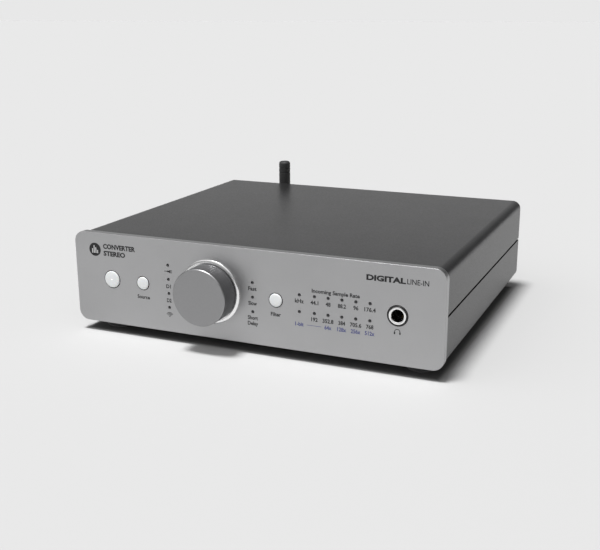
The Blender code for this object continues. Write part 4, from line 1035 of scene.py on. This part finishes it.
source_x = buttons["source"][0]
ink.append(lettering("Source", source_x, above_base(18.1), WORD, 8.0, SMALL))
ink.append(lettering("Filter", buttons["filter"][0], above_base(18.3), WORD, 5.8, SMALL))
for (x, z), words in zip(source_lights[1:3], ("D1", "D2")):
    ink.append(lettering(words, x, z - 4.0 * mm, WORD, 2.9, SMALL))
# a plug for the wired input and three waves for the wireless one
x, z = source_lights[0]
plug = gather(
    flat_band([(-2.3, 0), (2.2, 0)], 0.34),
    flat_band([(0.9, 0.62), (2.3, 0.62)], 0.34),
    flat_band([(0.9, -0.62), (2.3, -0.62)], 0.34),
    flat_band([(0.9, -0.62), (0.9, 0.62)], 0.5),
    flat_disc(0.55, 24),
)
ink.append(on_face(plug, x, z - 3.5 * mm))
x, z = source_lights[3]
waves = [flat_disc(0.3, 16)]
for radius in (0.9, 1.6, 2.3):
    arc = bend(0, 0, radius, 35, 145, 8)
    waves.append(flat_band(arc, 0.3))
ink.append(on_face(gather(*waves), x, z - 5.2 * mm))
for (x, z), (words, width) in zip(filter_lights, (("Fast", 4.9), ("Slow", 5.0), ("Short", 6.0))):
    ink.append(lettering(words, x, z - 3.3 * mm, WORD, width, SMALL))
ink.append(lettering("Delay", filter_lights[2][0], filter_lights[2][1] - 6.4 * mm, WORD, 6.1, SMALL))

heading_x = rate_lights[0][0] + 19.9 * mm
ink.append(lettering("Incoming Sample Rate", heading_x, above_base(33.6), 1.95, 26.0, SMALL))
top_words = (("kHz", 5.0), ("44.1", 4.4), ("48", 2.7), ("88.2", 4.4), ("96", 2.7), ("176.4", 6.0))
low_words = (None, ("192", 3.6), ("352.8", 6.0), ("384", 3.7), ("705.6", 6.1), ("768", 3.9))
for (x, z), label in zip(rate_lights, top_words + low_words):
    if label:
        ink.append(lettering(label[0], x, z - 3.25 * mm, WORD, label[1], SMALL))
rule_x, row_z = rate_lights[6][0], rate_lights[6][1] - 6.7 * mm
blue.append(lettering("1-bit", rule_x, row_z, WORD, 4.8, SMALL))
bit_rates = (("64x", 3.9), ("128x", 5.0), ("256x", 5.2), ("512x", 5.2))
for (x, _), (words, width) in zip(rate_lights[8:], bit_rates):
    blue.append(lettering(words, x, row_z, WORD, width, SMALL))
blue.append(on_face(flat_band([(4.2, 0), (12.2, 0)], 0.22), rule_x, row_z))

headband = flat_band(bend(0, 0, 1.4, 0, 180, 12), 0.32)
cups = [flat_band([(side * 1.4, -1.1), (side * 1.4, -0.25)], 0.75) for side in (-1, 1)]
ink.append(on_face(gather(headband, *cups), jack_x, above_base(17.6)))

printing = gather(coloured(gather(*ink), 0), coloured(gather(*blue), 1), coloured(gather(*bars), 2))
make_piece(printing, "front_print", "casing", [dark_ink, blue_ink, white_ink], "smoked_guide")

# %% [markdown]
# ## Rear panel
#
# A steel plate, painted as the shells are, with a hole for every socket. Each hole is a little larger than
# what goes through it, and its place is read from that socket's own box.

# %% Make the rear panel
XLR_HOLE_R, PHONO_HOLE_R, DC_HOLE_R = 10.4 * mm, 4.55 * mm, 4.4 * mm
SCREW_HOLE_R, AERIAL_HOLE_R = 1.7 * mm, 3.5 * mm
ROCKER_HOLE = (13.8 * mm, 19.8 * mm)
SOCKET_PLAY = 0.8 * mm
REAR_EDGE = 0.15 * mm
levels = ("upper", "lower")
phono_z = {level: middle_of(f"line_out_sleeve_{level}").z for level in levels}
xlr_x = {side: middle_of(f"xlr_shell_{side}").x for side in SIDES}
phono_x = {kind: middle_of(f"{kind}_block").x for kind in ("line_out", "coax_in")}
usb, dc = middle_of("usb_shell"), middle_of("dc_socket")
rocker, aerial = middle_of("rocker_frame"), middle_of("antenna_collar")
screws = [(level, side) for level in levels for side in SIDES]
screw_places = [middle_of(f"rear_screw_{level}_{side}") for level, side in screws]

plate = block(rear_low, rear_high, radius=3.5 * mm)
tools = [rod(XLR_HOLE_R, THROUGH, "rear", (x, REAR_Y, MID_Z), 96) for x in xlr_x.values()]
for x in phono_x.values():
    tools += [rod(PHONO_HOLE_R, THROUGH, "rear", (x, REAR_Y, z), 48) for z in phono_z.values()]
tools += [rod(SCREW_HOLE_R, THROUGH, "rear", (place.x, REAR_Y, place.z), 24) for place in screw_places]
tools.append(rod(AERIAL_HOLE_R, THROUGH, "rear", (aerial.x, REAR_Y, aerial.z), 32))
tools.append(rod(DC_HOLE_R, THROUGH, "rear", (dc.x, REAR_Y, dc.z), 48))


def window(centre, width, height):
    """A tool that cuts an oblong through the rear panel."""
    low = (centre.x - width / 2, REAR_Y - 5 * mm, centre.z - height / 2)
    high = (centre.x + width / 2, REAR_Y + 5 * mm, centre.z + height / 2)
    return block(low, high)


usb_size = size_of("usb_shell")
tools.append(window(usb, usb_size.x + SOCKET_PLAY, usb_size.z + SOCKET_PLAY))
tools.append(window(rocker, *ROCKER_HOLE))
for level in levels:
    side = size_of(f"optical_socket_{level}").x + SOCKET_PLAY
    tools.append(window(middle_of(f"optical_socket_{level}"), side, side))
plate = cut(plate, *tools)
ease(plate, rims_at(plate, REAR_Y), REAR_EDGE)
make_piece(plate, "rear_plate", "casing", powder, "grey_steel", "rear_panel")

# %% [markdown]
# ## Screws
#
# Pan heads with a cross recess. The recess is cut with two thin blocks, and each screw is turned a little
# differently, as real ones are.

# %% Make the screws
def pan_head(radius, height, shank, length, turn):
    """A screw in millimetres, head up, with its cross recess turned by some degrees."""
    dome = [(0, height), (0.45 * radius, 0.97 * height), (0.78 * radius, 0.8 * height)]
    dome += [(0.95 * radius, 0.5 * height), (radius, 0.25 * height), (radius, 0)]
    head = turned([*dome, (shank, 0), (shank, -length), (0, -length)], 40)
    reach, half_slot, depth = 0.58 * radius * mm, 0.12 * radius * mm, 0.55 * height * mm
    turned_by = Matrix.Rotation(math.radians(turn), 3, "Z")
    cross = block((-reach, -half_slot, height * mm - depth), (reach, half_slot, 2 * height * mm))
    other = block((-half_slot, -reach, height * mm - depth * 0.98), (half_slot, reach, 2.1 * height * mm))
    for tool in (cross, other):
        bmesh.ops.rotate(tool, cent=(0, 0, 0), matrix=turned_by, verts=tool.verts)
        head = cut(head, tool)
    return head


turns = (12, 57, -20, 33)
for turn, (level, side) in zip(turns, screws):
    low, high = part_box(f"rear_screw_{level}_{side}")
    centre = (low + high) / 2
    radius = (high.x - low.x) / 2 / mm
    seat = REAR_Y + 0.05 * mm
    head = pan_head(radius, (high.y - seat) / mm, 1.4, 7, turn)
    put(head, "rear", (centre.x, seat, centre.z))
    make_piece(head, f"plate_screw_{level}_{side}", "casing", nickel, "nickel", f"rear_screw_{level}_{side}")

# %% [markdown]
# ## Balanced outputs
#
# Each is a cast flange with a round mouth. Deep inside, a black insert carries three gold pins. A raised lip
# runs round the mouth, a key stands on its wall, and two small screws hold the flange at opposite corners.

# %% Make the balanced outputs
PIN_CIRCLE_R, PIN_ANGLES = 4.2 * mm, (25, 155, 270)
for side, x in xlr_x.items():
    low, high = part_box(f"xlr_shell_{side}")
    flange_low, flange_high = (low.x, REAR_Y + 0.05 * mm, low.z), (high.x, high.y - 0.45 * mm, high.z)
    flange = block(flange_low, flange_high, radius=3.5 * mm)
    flange = cut(flange, rod(8.6 * mm, 40 * mm, "rear", (x, REAR_Y, MID_Z), 96))
    soften(flange, 0.3 * mm, 3)
    top = (high.y - REAR_Y) / mm
    deep = (REAR_Y - low.y) / mm
    lip = [(8.15, top - 0.3), (8.45, top), (9.3, top), (9.6, top - 0.3), (9.7, top - 0.6), (9.7, 0.1)]
    mouth = [*lip, (10.0, 0.1), (10.0, -deep), (8.15, -deep)]
    mouth = put(turned(mouth, 96, ring=True), "rear", (x, REAR_Y, MID_Z))
    key_low = (x - 1.0 * mm, REAR_Y - 13 * mm, MID_Z + 7.1 * mm)
    key_shape = block(key_low, (x + 1.0 * mm, REAR_Y + 0.8 * mm, MID_Z + 8.4 * mm))
    shell = gather(flange, mouth, key_shape)
    for sign in (-1, 1):
        place = (x + sign * 9.8 * mm, high.y - 0.5 * mm, MID_Z + sign * 12.6 * mm)
        screw = put(pan_head(1.7, 0.42, 0.8, 2, 20 * sign), "rear", place)
        shell = gather(shell, coloured(screw, 1))
    make_piece(shell, f"balanced_shell_{side}", "casing", [nickel, chrome], "nickel", f"xlr_shell_{side}")

    low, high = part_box(f"xlr_insert_{side}")
    floor_y = REAR_Y - 13.2 * mm
    core = turned([(0, 0), (7.2, 0), (7.6, -0.3), (7.85, -0.3), (7.85, -4.2), (0, -4.2)], 64)
    core = gather(put(core, "rear", (x, floor_y, MID_Z)))
    for angle in PIN_ANGLES:
        pin_x = x + PIN_CIRCLE_R * math.cos(math.radians(angle))
        pin_z = MID_Z + PIN_CIRCLE_R * math.sin(math.radians(angle))
        length = (high.y - low.y) / mm
        pin = [(0, 0), (0.5, -0.1), (0.95, -0.5), (1.2, -1.1), (1.2, -length), (0, -length)]
        core = gather(core, coloured(put(turned(pin, 24), "rear", (pin_x, high.y, pin_z)), 1))
    coats = [black_plastic, gold]
    make_piece(core, f"balanced_pins_{side}", "casing", coats, "black_plastic", f"xlr_insert_{side}")

# %% [markdown]
# ## Phono sockets
#
# A gold-plated sleeve with a flange, round an insulator whose colour tells the socket: white and red for the
# line outputs, orange for the digital inputs. Behind the panel a black block holds each stacked pair.

# %% Make the phono sockets
core_colours = {
    "line_out": (moulding["white"], moulding["red"]),
    "coax_in": (moulding["orange"], moulding["orange"]),
}
for kind, x in phono_x.items():
    low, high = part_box(f"{kind}_block")
    body = block(low, (high.x, REAR_Y - STEEL - 0.3 * mm, high.z), radius=0.6 * mm)
    soften(body, 0.2 * mm)
    body = gather(body)
    for number, level in enumerate(levels):
        z = phono_z[level]
        out = (high.y - REAR_Y) / mm
        core = [(1.6, out - 0.15), (1.75, out), (2.75, out), (2.9, out - 0.15), (2.9, -1.4), (1.6, -1.4)]
        body = gather(body, coloured(put(turned(core, 48, ring=True), "rear", (x, REAR_Y, z)), number + 1))
        well = [(0, 1.0), (1.65, 1.0), (1.65, 0.6), (0, 0.6)]
        body = gather(body, coloured(put(turned(well, 32), "rear", (x, REAR_Y, z)), 3))
    finishes = [black_plastic, *core_colours[kind], gold]
    make_piece(body, f"{kind}_pair", "casing", finishes, "black_plastic", f"{kind}_block")
    for level in levels:
        low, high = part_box(f"{kind}_sleeve_{level}")
        out = (high.y - REAR_Y) / mm
        barrel = [(3.2, out), (3.35, out), (3.95, out), (4.15, out - 0.25), (4.15, 2.2), (4.35, 1.9)]
        flange = [(4.35, 1.5), (5.2, 1.3), (5.5, 1.0), (5.5, 0.3), (4.15, 0.3), (4.15, -1.2), (3.2, -1.2)]
        sleeve = put(turned([*barrel, *flange], 72, ring=True), "rear", (x, REAR_Y, phono_z[level]))
        make_piece(sleeve, f"{kind}_barrel_{level}", "casing", gold, "gold_plate", f"{kind}_sleeve_{level}")

# %% [markdown]
# ## Optical inputs
#
# A square moulding with a square mouth. A sprung flap hangs from the roof of the mouth and keeps dust out.
# The flap is a piece of its own, because it swings.

# %% Make the optical inputs
MOUTH, MOUTH_DEPTH = 4.1 * mm, 9.8 * mm
for level in levels:
    low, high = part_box(f"optical_socket_{level}")
    centre = (low + high) / 2
    body = block(low, high, radius=0.5 * mm, segments=4)
    mouth_low = (centre.x - MOUTH, high.y - MOUTH_DEPTH, centre.z - MOUTH)
    mouth_high = (centre.x + MOUTH, high.y + 5 * mm, centre.z + MOUTH)
    body = cut(body, block(mouth_low, mouth_high))
    soften(body, 0.16 * mm)
    lens = turned([(0, 2.2), (0.9, 2.2), (1.1, 2.0), (1.1, 0), (0, 0)], 32)
    put(lens, "rear", (centre.x, high.y - MOUTH_DEPTH - 0.1 * mm, centre.z))
    body = gather(body, coloured(lens, 1))
    coats, node = [black_plastic, smoked], f"optical_socket_{level}"
    make_piece(body, f"optical_body_{level}", "casing", coats, "black_plastic", node)

    low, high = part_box(f"optical_flap_{level}")
    door = block(low, high)
    face = max(door.faces, key=lambda f: f.calc_center_median().y)
    bmesh.ops.inset_region(door, faces=[face], thickness=1.1 * mm, depth=0)
    bmesh.ops.inset_region(door, faces=[face], thickness=0.25 * mm, depth=-0.2 * mm)
    soften(door, 0.08 * mm)
    name, node = f"optical_door_{level}", f"optical_flap_{level}"
    make_piece(door, name, f"{level}_flap", black_plastic, "black_plastic", node)

# %% [markdown]
# ## Data and power sockets
#
# The data socket is a folded metal box round a black insert with a tongue and four contacts. The power socket
# is a round black nose with a pin in its bore.

# %% Make the data and power sockets
def cut_shoulders(bm, width):
    """Cuts off the two upper corners, so that a plug goes in one way up only."""
    shoulders = [e for e in edges_front_to_back(bm) if e.verts[0].co.z > usb.z]
    return ease(bm, shoulders, width, 1)


low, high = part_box("usb_shell")
shell = cut_shoulders(block(low, high), 1.3 * mm)
wall = 0.5 * mm
hollow_low = (low.x + wall, low.y + wall, low.z + wall)
hollow_high = (high.x - wall, high.y + wall, high.z - wall)
hollow = cut_shoulders(block(hollow_low, hollow_high), 1.1 * mm)
shell = cut(shell, hollow)
soften(shell, 0.12 * mm)
make_piece(shell, "data_shell", "casing", nickel, "nickel", "usb_shell")

low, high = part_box("usb_insert")
insert = cut_shoulders(block(low, high), 1.0 * mm)
pocket_low = (usb.x - 4.25 * mm, high.y - 8.9 * mm, usb.z - 3.9 * mm)
pocket_high = (usb.x + 4.25 * mm, high.y + mm, usb.z + 3.9 * mm)
insert = cut(insert, block(pocket_low, pocket_high))
soften(insert, 0.12 * mm)
tongue_low = (usb.x - 2.8 * mm, high.y - 9.2 * mm, usb.z - 1.55 * mm)
tongue_high = (usb.x + 2.8 * mm, high.y - 1.0 * mm, usb.z + 1.55 * mm)
tongue = block(tongue_low, tongue_high)
soften(tongue, 0.2 * mm)
insert = gather(insert, tongue)
for step_x in (-1.3, 1.3):
    for side in (-1, 1):
        place = Vector((usb.x + step_x * mm, high.y - 4.6 * mm, usb.z + side * 1.56 * mm))
        reach = Vector((0.45 * mm, 3.0 * mm, 0.08 * mm))
        insert = gather(insert, coloured(block(place - reach, place + reach), 1))
make_piece(insert, "data_insert", "casing", [black_plastic, gold], "black_plastic", "usb_insert")

low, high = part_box("dc_socket")
back = REAR_Y - STEEL - 0.3 * mm
body = block(low, (high.x, back, high.z), radius=0.5 * mm)
body = cut(body, rod(3.0 * mm, 14 * mm, "rear", (dc.x, back, dc.z), 48))
soften(body, 0.15 * mm)
out = (high.y - REAR_Y) / mm
nose = [(3.0, out - 0.25), (3.2, out), (3.75, out), (4.0, out - 0.25), (4.0, -1.6), (3.0, -1.6)]
pin = [(0, out - 0.6), (0.6, out - 0.65), (0.95, out - 1.0), (1.0, out - 1.4), (1.0, -8), (0, -8)]
body = gather(
    body,
    put(turned(nose, 64, ring=True), "rear", (dc.x, REAR_Y, dc.z)),
    coloured(put(turned(pin, 24), "rear", (dc.x, REAR_Y, dc.z)), 1),
)
make_piece(body, "power_inlet", "casing", [black_plastic, nickel], "black_plastic", "dc_socket")

# %% [markdown]
# ## Power switch
#
# A rocker: a V-shaped key in a frame. Its section is drawn once, given its width by extrusion, tipped to its
# rest angle, and softened. Two marks that every rocker has, a bar and a ring, are moulded into it in white.

# %% Make the power switch
def swept(section, width):
    """A side view, as (y, z) in millimetres, given its width along X and centred."""
    bm = bmesh.new()
    corners = [bm.verts.new((-width / 2 * mm, y * mm, z * mm)) for y, z in section]
    side = bm.faces.new(corners)
    moved = bmesh.ops.extrude_face_region(bm, geom=[side])["geom"]
    far_side = [item for item in moved if isinstance(item, bmesh.types.BMVert)]
    bmesh.ops.translate(bm, vec=(width * mm, 0, 0), verts=far_side)
    return tidy(bm)


low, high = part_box("rocker_frame")
frame_shape = block((low.x, REAR_Y + 0.05 * mm, low.z), high, radius=1.0 * mm, segments=6)
OPENING_X, OPENING_Z = 5.7 * mm, 8.9 * mm
opening_low = (rocker.x - OPENING_X, REAR_Y - 8 * mm, MID_Z - OPENING_Z)
opening_high = (rocker.x + OPENING_X, REAR_Y + 8 * mm, MID_Z + OPENING_Z)
frame_shape = cut(frame_shape, block(opening_low, opening_high))
soften(frame_shape, 0.35 * mm, 3)
body_low = (rocker.x - 6.5 * mm, low.y, MID_Z - 9.5 * mm)
body_high = (rocker.x + 6.5 * mm, REAR_Y + 0.6 * mm, MID_Z + 9.5 * mm)
body = block(body_low, body_high)
inside = block((rocker.x - OPENING_X, low.y + STEEL, MID_Z - OPENING_Z), opening_high)
body = cut(body, inside)
frame_shape = gather(frame_shape, body)
make_piece(frame_shape, "switch_frame", "casing", black_plastic, "black_plastic", "rocker_frame")

ROCKER_TILT = math.radians(8)
pivot_y = high.y - 0.8 * mm
KEY_TALL, KEY_DIP, MARK_UP = 8.2, 1.1, 4.6
key_back = [(-3.5, -KEY_TALL), (-5.0, 0), (-3.5, KEY_TALL)]
section = [*key_back, (2 * KEY_DIP, KEY_TALL), (KEY_DIP, 0), (2 * KEY_DIP, -KEY_TALL)]
rocking = swept(section, 10.8)
soften(rocking, 0.35 * mm, 3, 12)
# each mark lies on its own half of the face, which leans away from the middle
lean = math.atan2(KEY_DIP, KEY_TALL)
mark_out = (KEY_DIP + MARK_UP / KEY_TALL * KEY_DIP + 0.03) * mm
for up, mark in ((1, "bar"), (-1, "ring")):
    if mark == "bar":
        shape = flat_band([(0, -1.5), (0, 1.5)], 0.5)
    else:
        shape = flat_band(bend(0, 0, 1.35, 0, 360, 24), 0.42)
    put(shape, "rear", (0, 0, 0))
    bmesh.ops.rotate(shape, cent=(0, 0, 0), matrix=Matrix.Rotation(-up * lean, 3, "X"), verts=shape.verts)
    bmesh.ops.translate(shape, vec=(0, mark_out, up * MARK_UP * mm), verts=shape.verts)
    rocking = gather(rocking, coloured(shape, 1))
bmesh.ops.rotate(rocking, cent=(0, 0, 0), matrix=Matrix.Rotation(ROCKER_TILT, 3, "X"), verts=rocking.verts)
bmesh.ops.translate(rocking, vec=(rocker.x, pivot_y, MID_Z), verts=rocking.verts)
make_piece(rocking, "switch_rocker", "rocker", [gloss_black, white_ink], "black_plastic", "power_rocker")

# %% [markdown]
# ## Antenna
#
# A threaded gold barrel with a hexagon sits in the panel. A ribbed collar screws onto it, an elbow turns in
# the collar, and the rubber rod folds on a pin through the elbow's two ears. Under its domed tip the rod has
# two fine grooves.

# %% Make the antenna
low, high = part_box("antenna_socket")
reach = (high.y - REAR_Y) / mm
thread = [(0, reach), (2.5, reach), (2.9, reach - 0.3)]
height = reach - 0.4
while height > 2.8:
    thread += [(3.1, height - 0.15), (2.8, height - 0.45)]
    height -= 0.6
thread += [(3.1, 2.3), (3.1, -4.9), (0, -4.9)]
barrel = put(turned(thread, 48), "rear", (aerial.x, REAR_Y, aerial.z))
nut = turned([(0, 2.25), (4.2, 2.25), (4.6, 1.95), (4.6, 0.3), (0, 0.3)], 6)
put(nut, "rear", (aerial.x, REAR_Y, aerial.z))
make_piece(gather(barrel, nut), "antenna_barrel", "casing", gold, "gold_plate", "antenna_socket")

low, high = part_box("antenna_collar")
end = (high.y - REAR_Y) / mm
start = (low.y - REAR_Y) / mm
body = [(2.3, end), (4.3, end), (4.5, end - 0.25), (4.5, end - 1.2), (4.4, end - 1.3), (4.4, start + 1.0)]
body += [(4.5, start + 0.9), (4.5, start), (3.4, start), (3.4, end - 1.6), (2.3, end - 1.6)]
collar = turned(body, 60, ring=True)
ribs = []
for face in collar.faces:
    centre = face.calc_center_median()
    step = int(math.degrees(math.atan2(centre.y, centre.x)) / 6 + 60)
    on_grip = abs(math.hypot(centre.x, centre.y) - 4.4 * mm) < 0.03 * mm and face.calc_area() > 1e-6
    if on_grip and step % 2:
        ribs.append(face)
for rib in bmesh.ops.extrude_discrete_faces(collar, faces=ribs)["faces"]:
    centre = rib.calc_center_median()
    outward = Vector((centre.x, centre.y, 0)).normalized() * 0.25 * mm
    bmesh.ops.translate(collar, vec=outward, verts=rib.verts)
put(collar, "rear", (aerial.x, REAR_Y, aerial.z))
make_piece(collar, "antenna_grip", "casing", black_plastic, "black_plastic", "antenna_collar")
print(len(ribs), "ribs on the collar")

# the elbow: a round-ended block with a slot, and the neck that turns in the collar
hinge = middle_of("antenna_pin")
low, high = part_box("antenna_elbow")
elbow = swept([(-4, -4), *bend(0, 0, 4, -90, 90), (-4, 4)], 8)
soften(elbow, 0.5 * mm, 3)
HALF_SLOT = 1.6 * mm
slot_low = (-HALF_SLOT, -3.5 * mm, -9 * mm)
elbow = cut(elbow, block(slot_low, (HALF_SLOT, 9 * mm, 9 * mm)))
soften(elbow, 0.12 * mm, 2, 50)
neck_length = (hinge.y - low.y) / mm
KNEE_R = 3.9
neck = turned([(0, 0), (2.0, 0), (2.0, KNEE_R - neck_length), (0, KNEE_R - neck_length)], 32)
elbow = gather(elbow, put(neck, "rear", (0, -KNEE_R * mm, 0)))
bmesh.ops.translate(elbow, vec=hinge, verts=elbow.verts)
make_piece(elbow, "antenna_knee", "antenna_base", black_plastic, "black_plastic", "antenna_elbow")

pin_length = size_of("antenna_pin").x / mm
end = [(0, pin_length / 2), (0.7, pin_length / 2), (1.0, pin_length / 2 - 0.25)]
pin = turned([*end, (1.0, 0.25 - pin_length / 2), (0.7, -pin_length / 2), (0, -pin_length / 2)], 32)
make_piece(put(pin, "right", hinge), "antenna_hinge_pin", "antenna_base", nickel, "nickel", "antenna_pin")

# the rod: domed tip, two grooves, a slight taper at the shoulder, and the tongue between the elbow's ears
tall = (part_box("antenna_rod")[1].z - hinge.z) / mm
STUB_R, GROOVE_R = 4.0, 3.72
profile = [(0, tall), *bend(2.2, tall - 1.8, 1.8, 90, 0, 10)]
for below_tip in (4.8, 8.2):
    at = tall - below_tip
    profile += [(STUB_R, at + 0.3), (GROOVE_R, at + 0.12), (GROOVE_R, at - 0.12), (STUB_R, at - 0.3)]
profile += [(STUB_R, 5.4), (3.8, 4.85), (3.3, 4.6), (0, 4.6)]
stub = put(turned(profile, 72), "up", (0, 0, 0))
tongue = swept([*bend(0, 0, 3.2, 180, 360), (3.2, 4.9), (-3.2, 4.9)], 2.6)
soften(tongue, 0.2 * mm)
stub = gather(stub, tongue)
bmesh.ops.translate(stub, vec=hinge, verts=stub.verts)
make_piece(stub, "antenna_stub_rod", "antenna_stub", rubber, "black_rubber", "antenna_rod")

# %% [markdown]
# ## Printing on the rear
#
# Plain words over each socket, read from behind, in white ink on the grey paint.

# %% Print the rear labels
LABEL, LABEL_UP, PAIR_UP = 2.1, 17.0 * mm, 18.6 * mm
BESIDE_OUTPUT, BESIDE_INPUT = 7.4 * mm, 7.6 * mm
title_x = (xlr_x["left"] + xlr_x["right"]) / 2
title_z = MID_Z - 18.8 * mm
labels = [
    ("Left", xlr_x["left"], MID_Z + PAIR_UP, LABEL),
    ("Right", xlr_x["right"], MID_Z + PAIR_UP, LABEL),
    ("Balanced Output", title_x, title_z, LABEL),
    ("Line Output", phono_x["line_out"], MID_Z + LABEL_UP, LABEL),
    ("L", phono_x["line_out"] - BESIDE_OUTPUT, phono_z["upper"], LABEL),
    ("R", phono_x["line_out"] - BESIDE_OUTPUT, phono_z["lower"], LABEL),
    ("Coaxial", phono_x["coax_in"], MID_Z + LABEL_UP, LABEL),
    ("D1", phono_x["coax_in"] - BESIDE_INPUT, phono_z["upper"], LABEL),
    ("D2", phono_x["coax_in"] - BESIDE_INPUT, phono_z["lower"], LABEL),
    ("Optical", middle_of("optical_socket_upper").x, MID_Z + LABEL_UP, LABEL),
    ("Data In", usb.x, usb.z + 8.6 * mm, LABEL),
    ("DC 12V", dc.x, dc.z + 9.2 * mm, LABEL),
    ("Aerial", aerial.x - 11.6 * mm, aerial.z, 2.0),
    ("Power", rocker.x, MID_Z + 14.0 * mm, LABEL),
]
words = [lettering(text, x, z, tall, None, THIN, "rear") for text, x, z, tall in labels]
rear_print = gather(bmesh.new(), *words)
# a fine line joins the two balanced outputs' names to their title
for sign in (-1, 1):
    place = (title_x + sign * 19.5 * mm, REAR_Y + INK_LIFT, title_z)
    rule = put(flat_band([(-3.5, 0), (3.5, 0)], 0.25), "rear", place)
    rear_print = gather(rear_print, rule)
make_piece(rear_print, "rear_print", "casing", white_ink, "smoked_guide")

# %% [markdown]
# ## Hidden pieces
#
# The bracket, boards, switches and encoder sit inside the closed case. Their CAD shapes are right, so they
# keep them and take better finishes.

# %% Dress the pieces inside
board = finish("green circuit board", (0.015, 0.075, 0.04), 0.35, 0.0, Coat_Weight=0.3)
vary_colour(board, noise(board, 700, 3), (0.01, 0.06, 0.03), (0.02, 0.10, 0.05))
raise_bump(board, noise(board, 900), 0.01 * mm, 0.5)
ribbon_finish = finish("grey ribbon", (0.42, 0.42, 0.42), 0.55)
raise_bump(ribbon_finish, noise(ribbon_finish, 1500), 0.01 * mm, 0.5)
chips = ("dac_chip_left", "dac_chip_right")
switches = ("power_switch", "source_switch", "filter_switch")
hidden = (
    (black_plastic, ("front_bracket", *switches, *chips)),
    (nickel, ("encoder_body", "encoder_nut", "wireless_module")),
    (brass, ("encoder_shaft",)),
    (lamp_glow, ("power_lamp",)),
    (board, ("front_board", "main_board")),
    (ribbon_finish, ("ribbon_cable",)),
)
for coat, same_coat in hidden:
    for node in same_coat:
        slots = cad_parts[node].data.materials
        slots.clear()
        slots.append(coat)
print("dressed", sum(len(same_coat) for _, same_coat in hidden), "pieces inside the case")

# %% [markdown]
# ## Both boxes
#
# The looks must not grow the object, so both boxes are put side by side.

# %% Put both boxes side by side
low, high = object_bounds()
boxes = {"cad": [list(cad_low), list(cad_high)], "visual": [list(low), list(high)]}
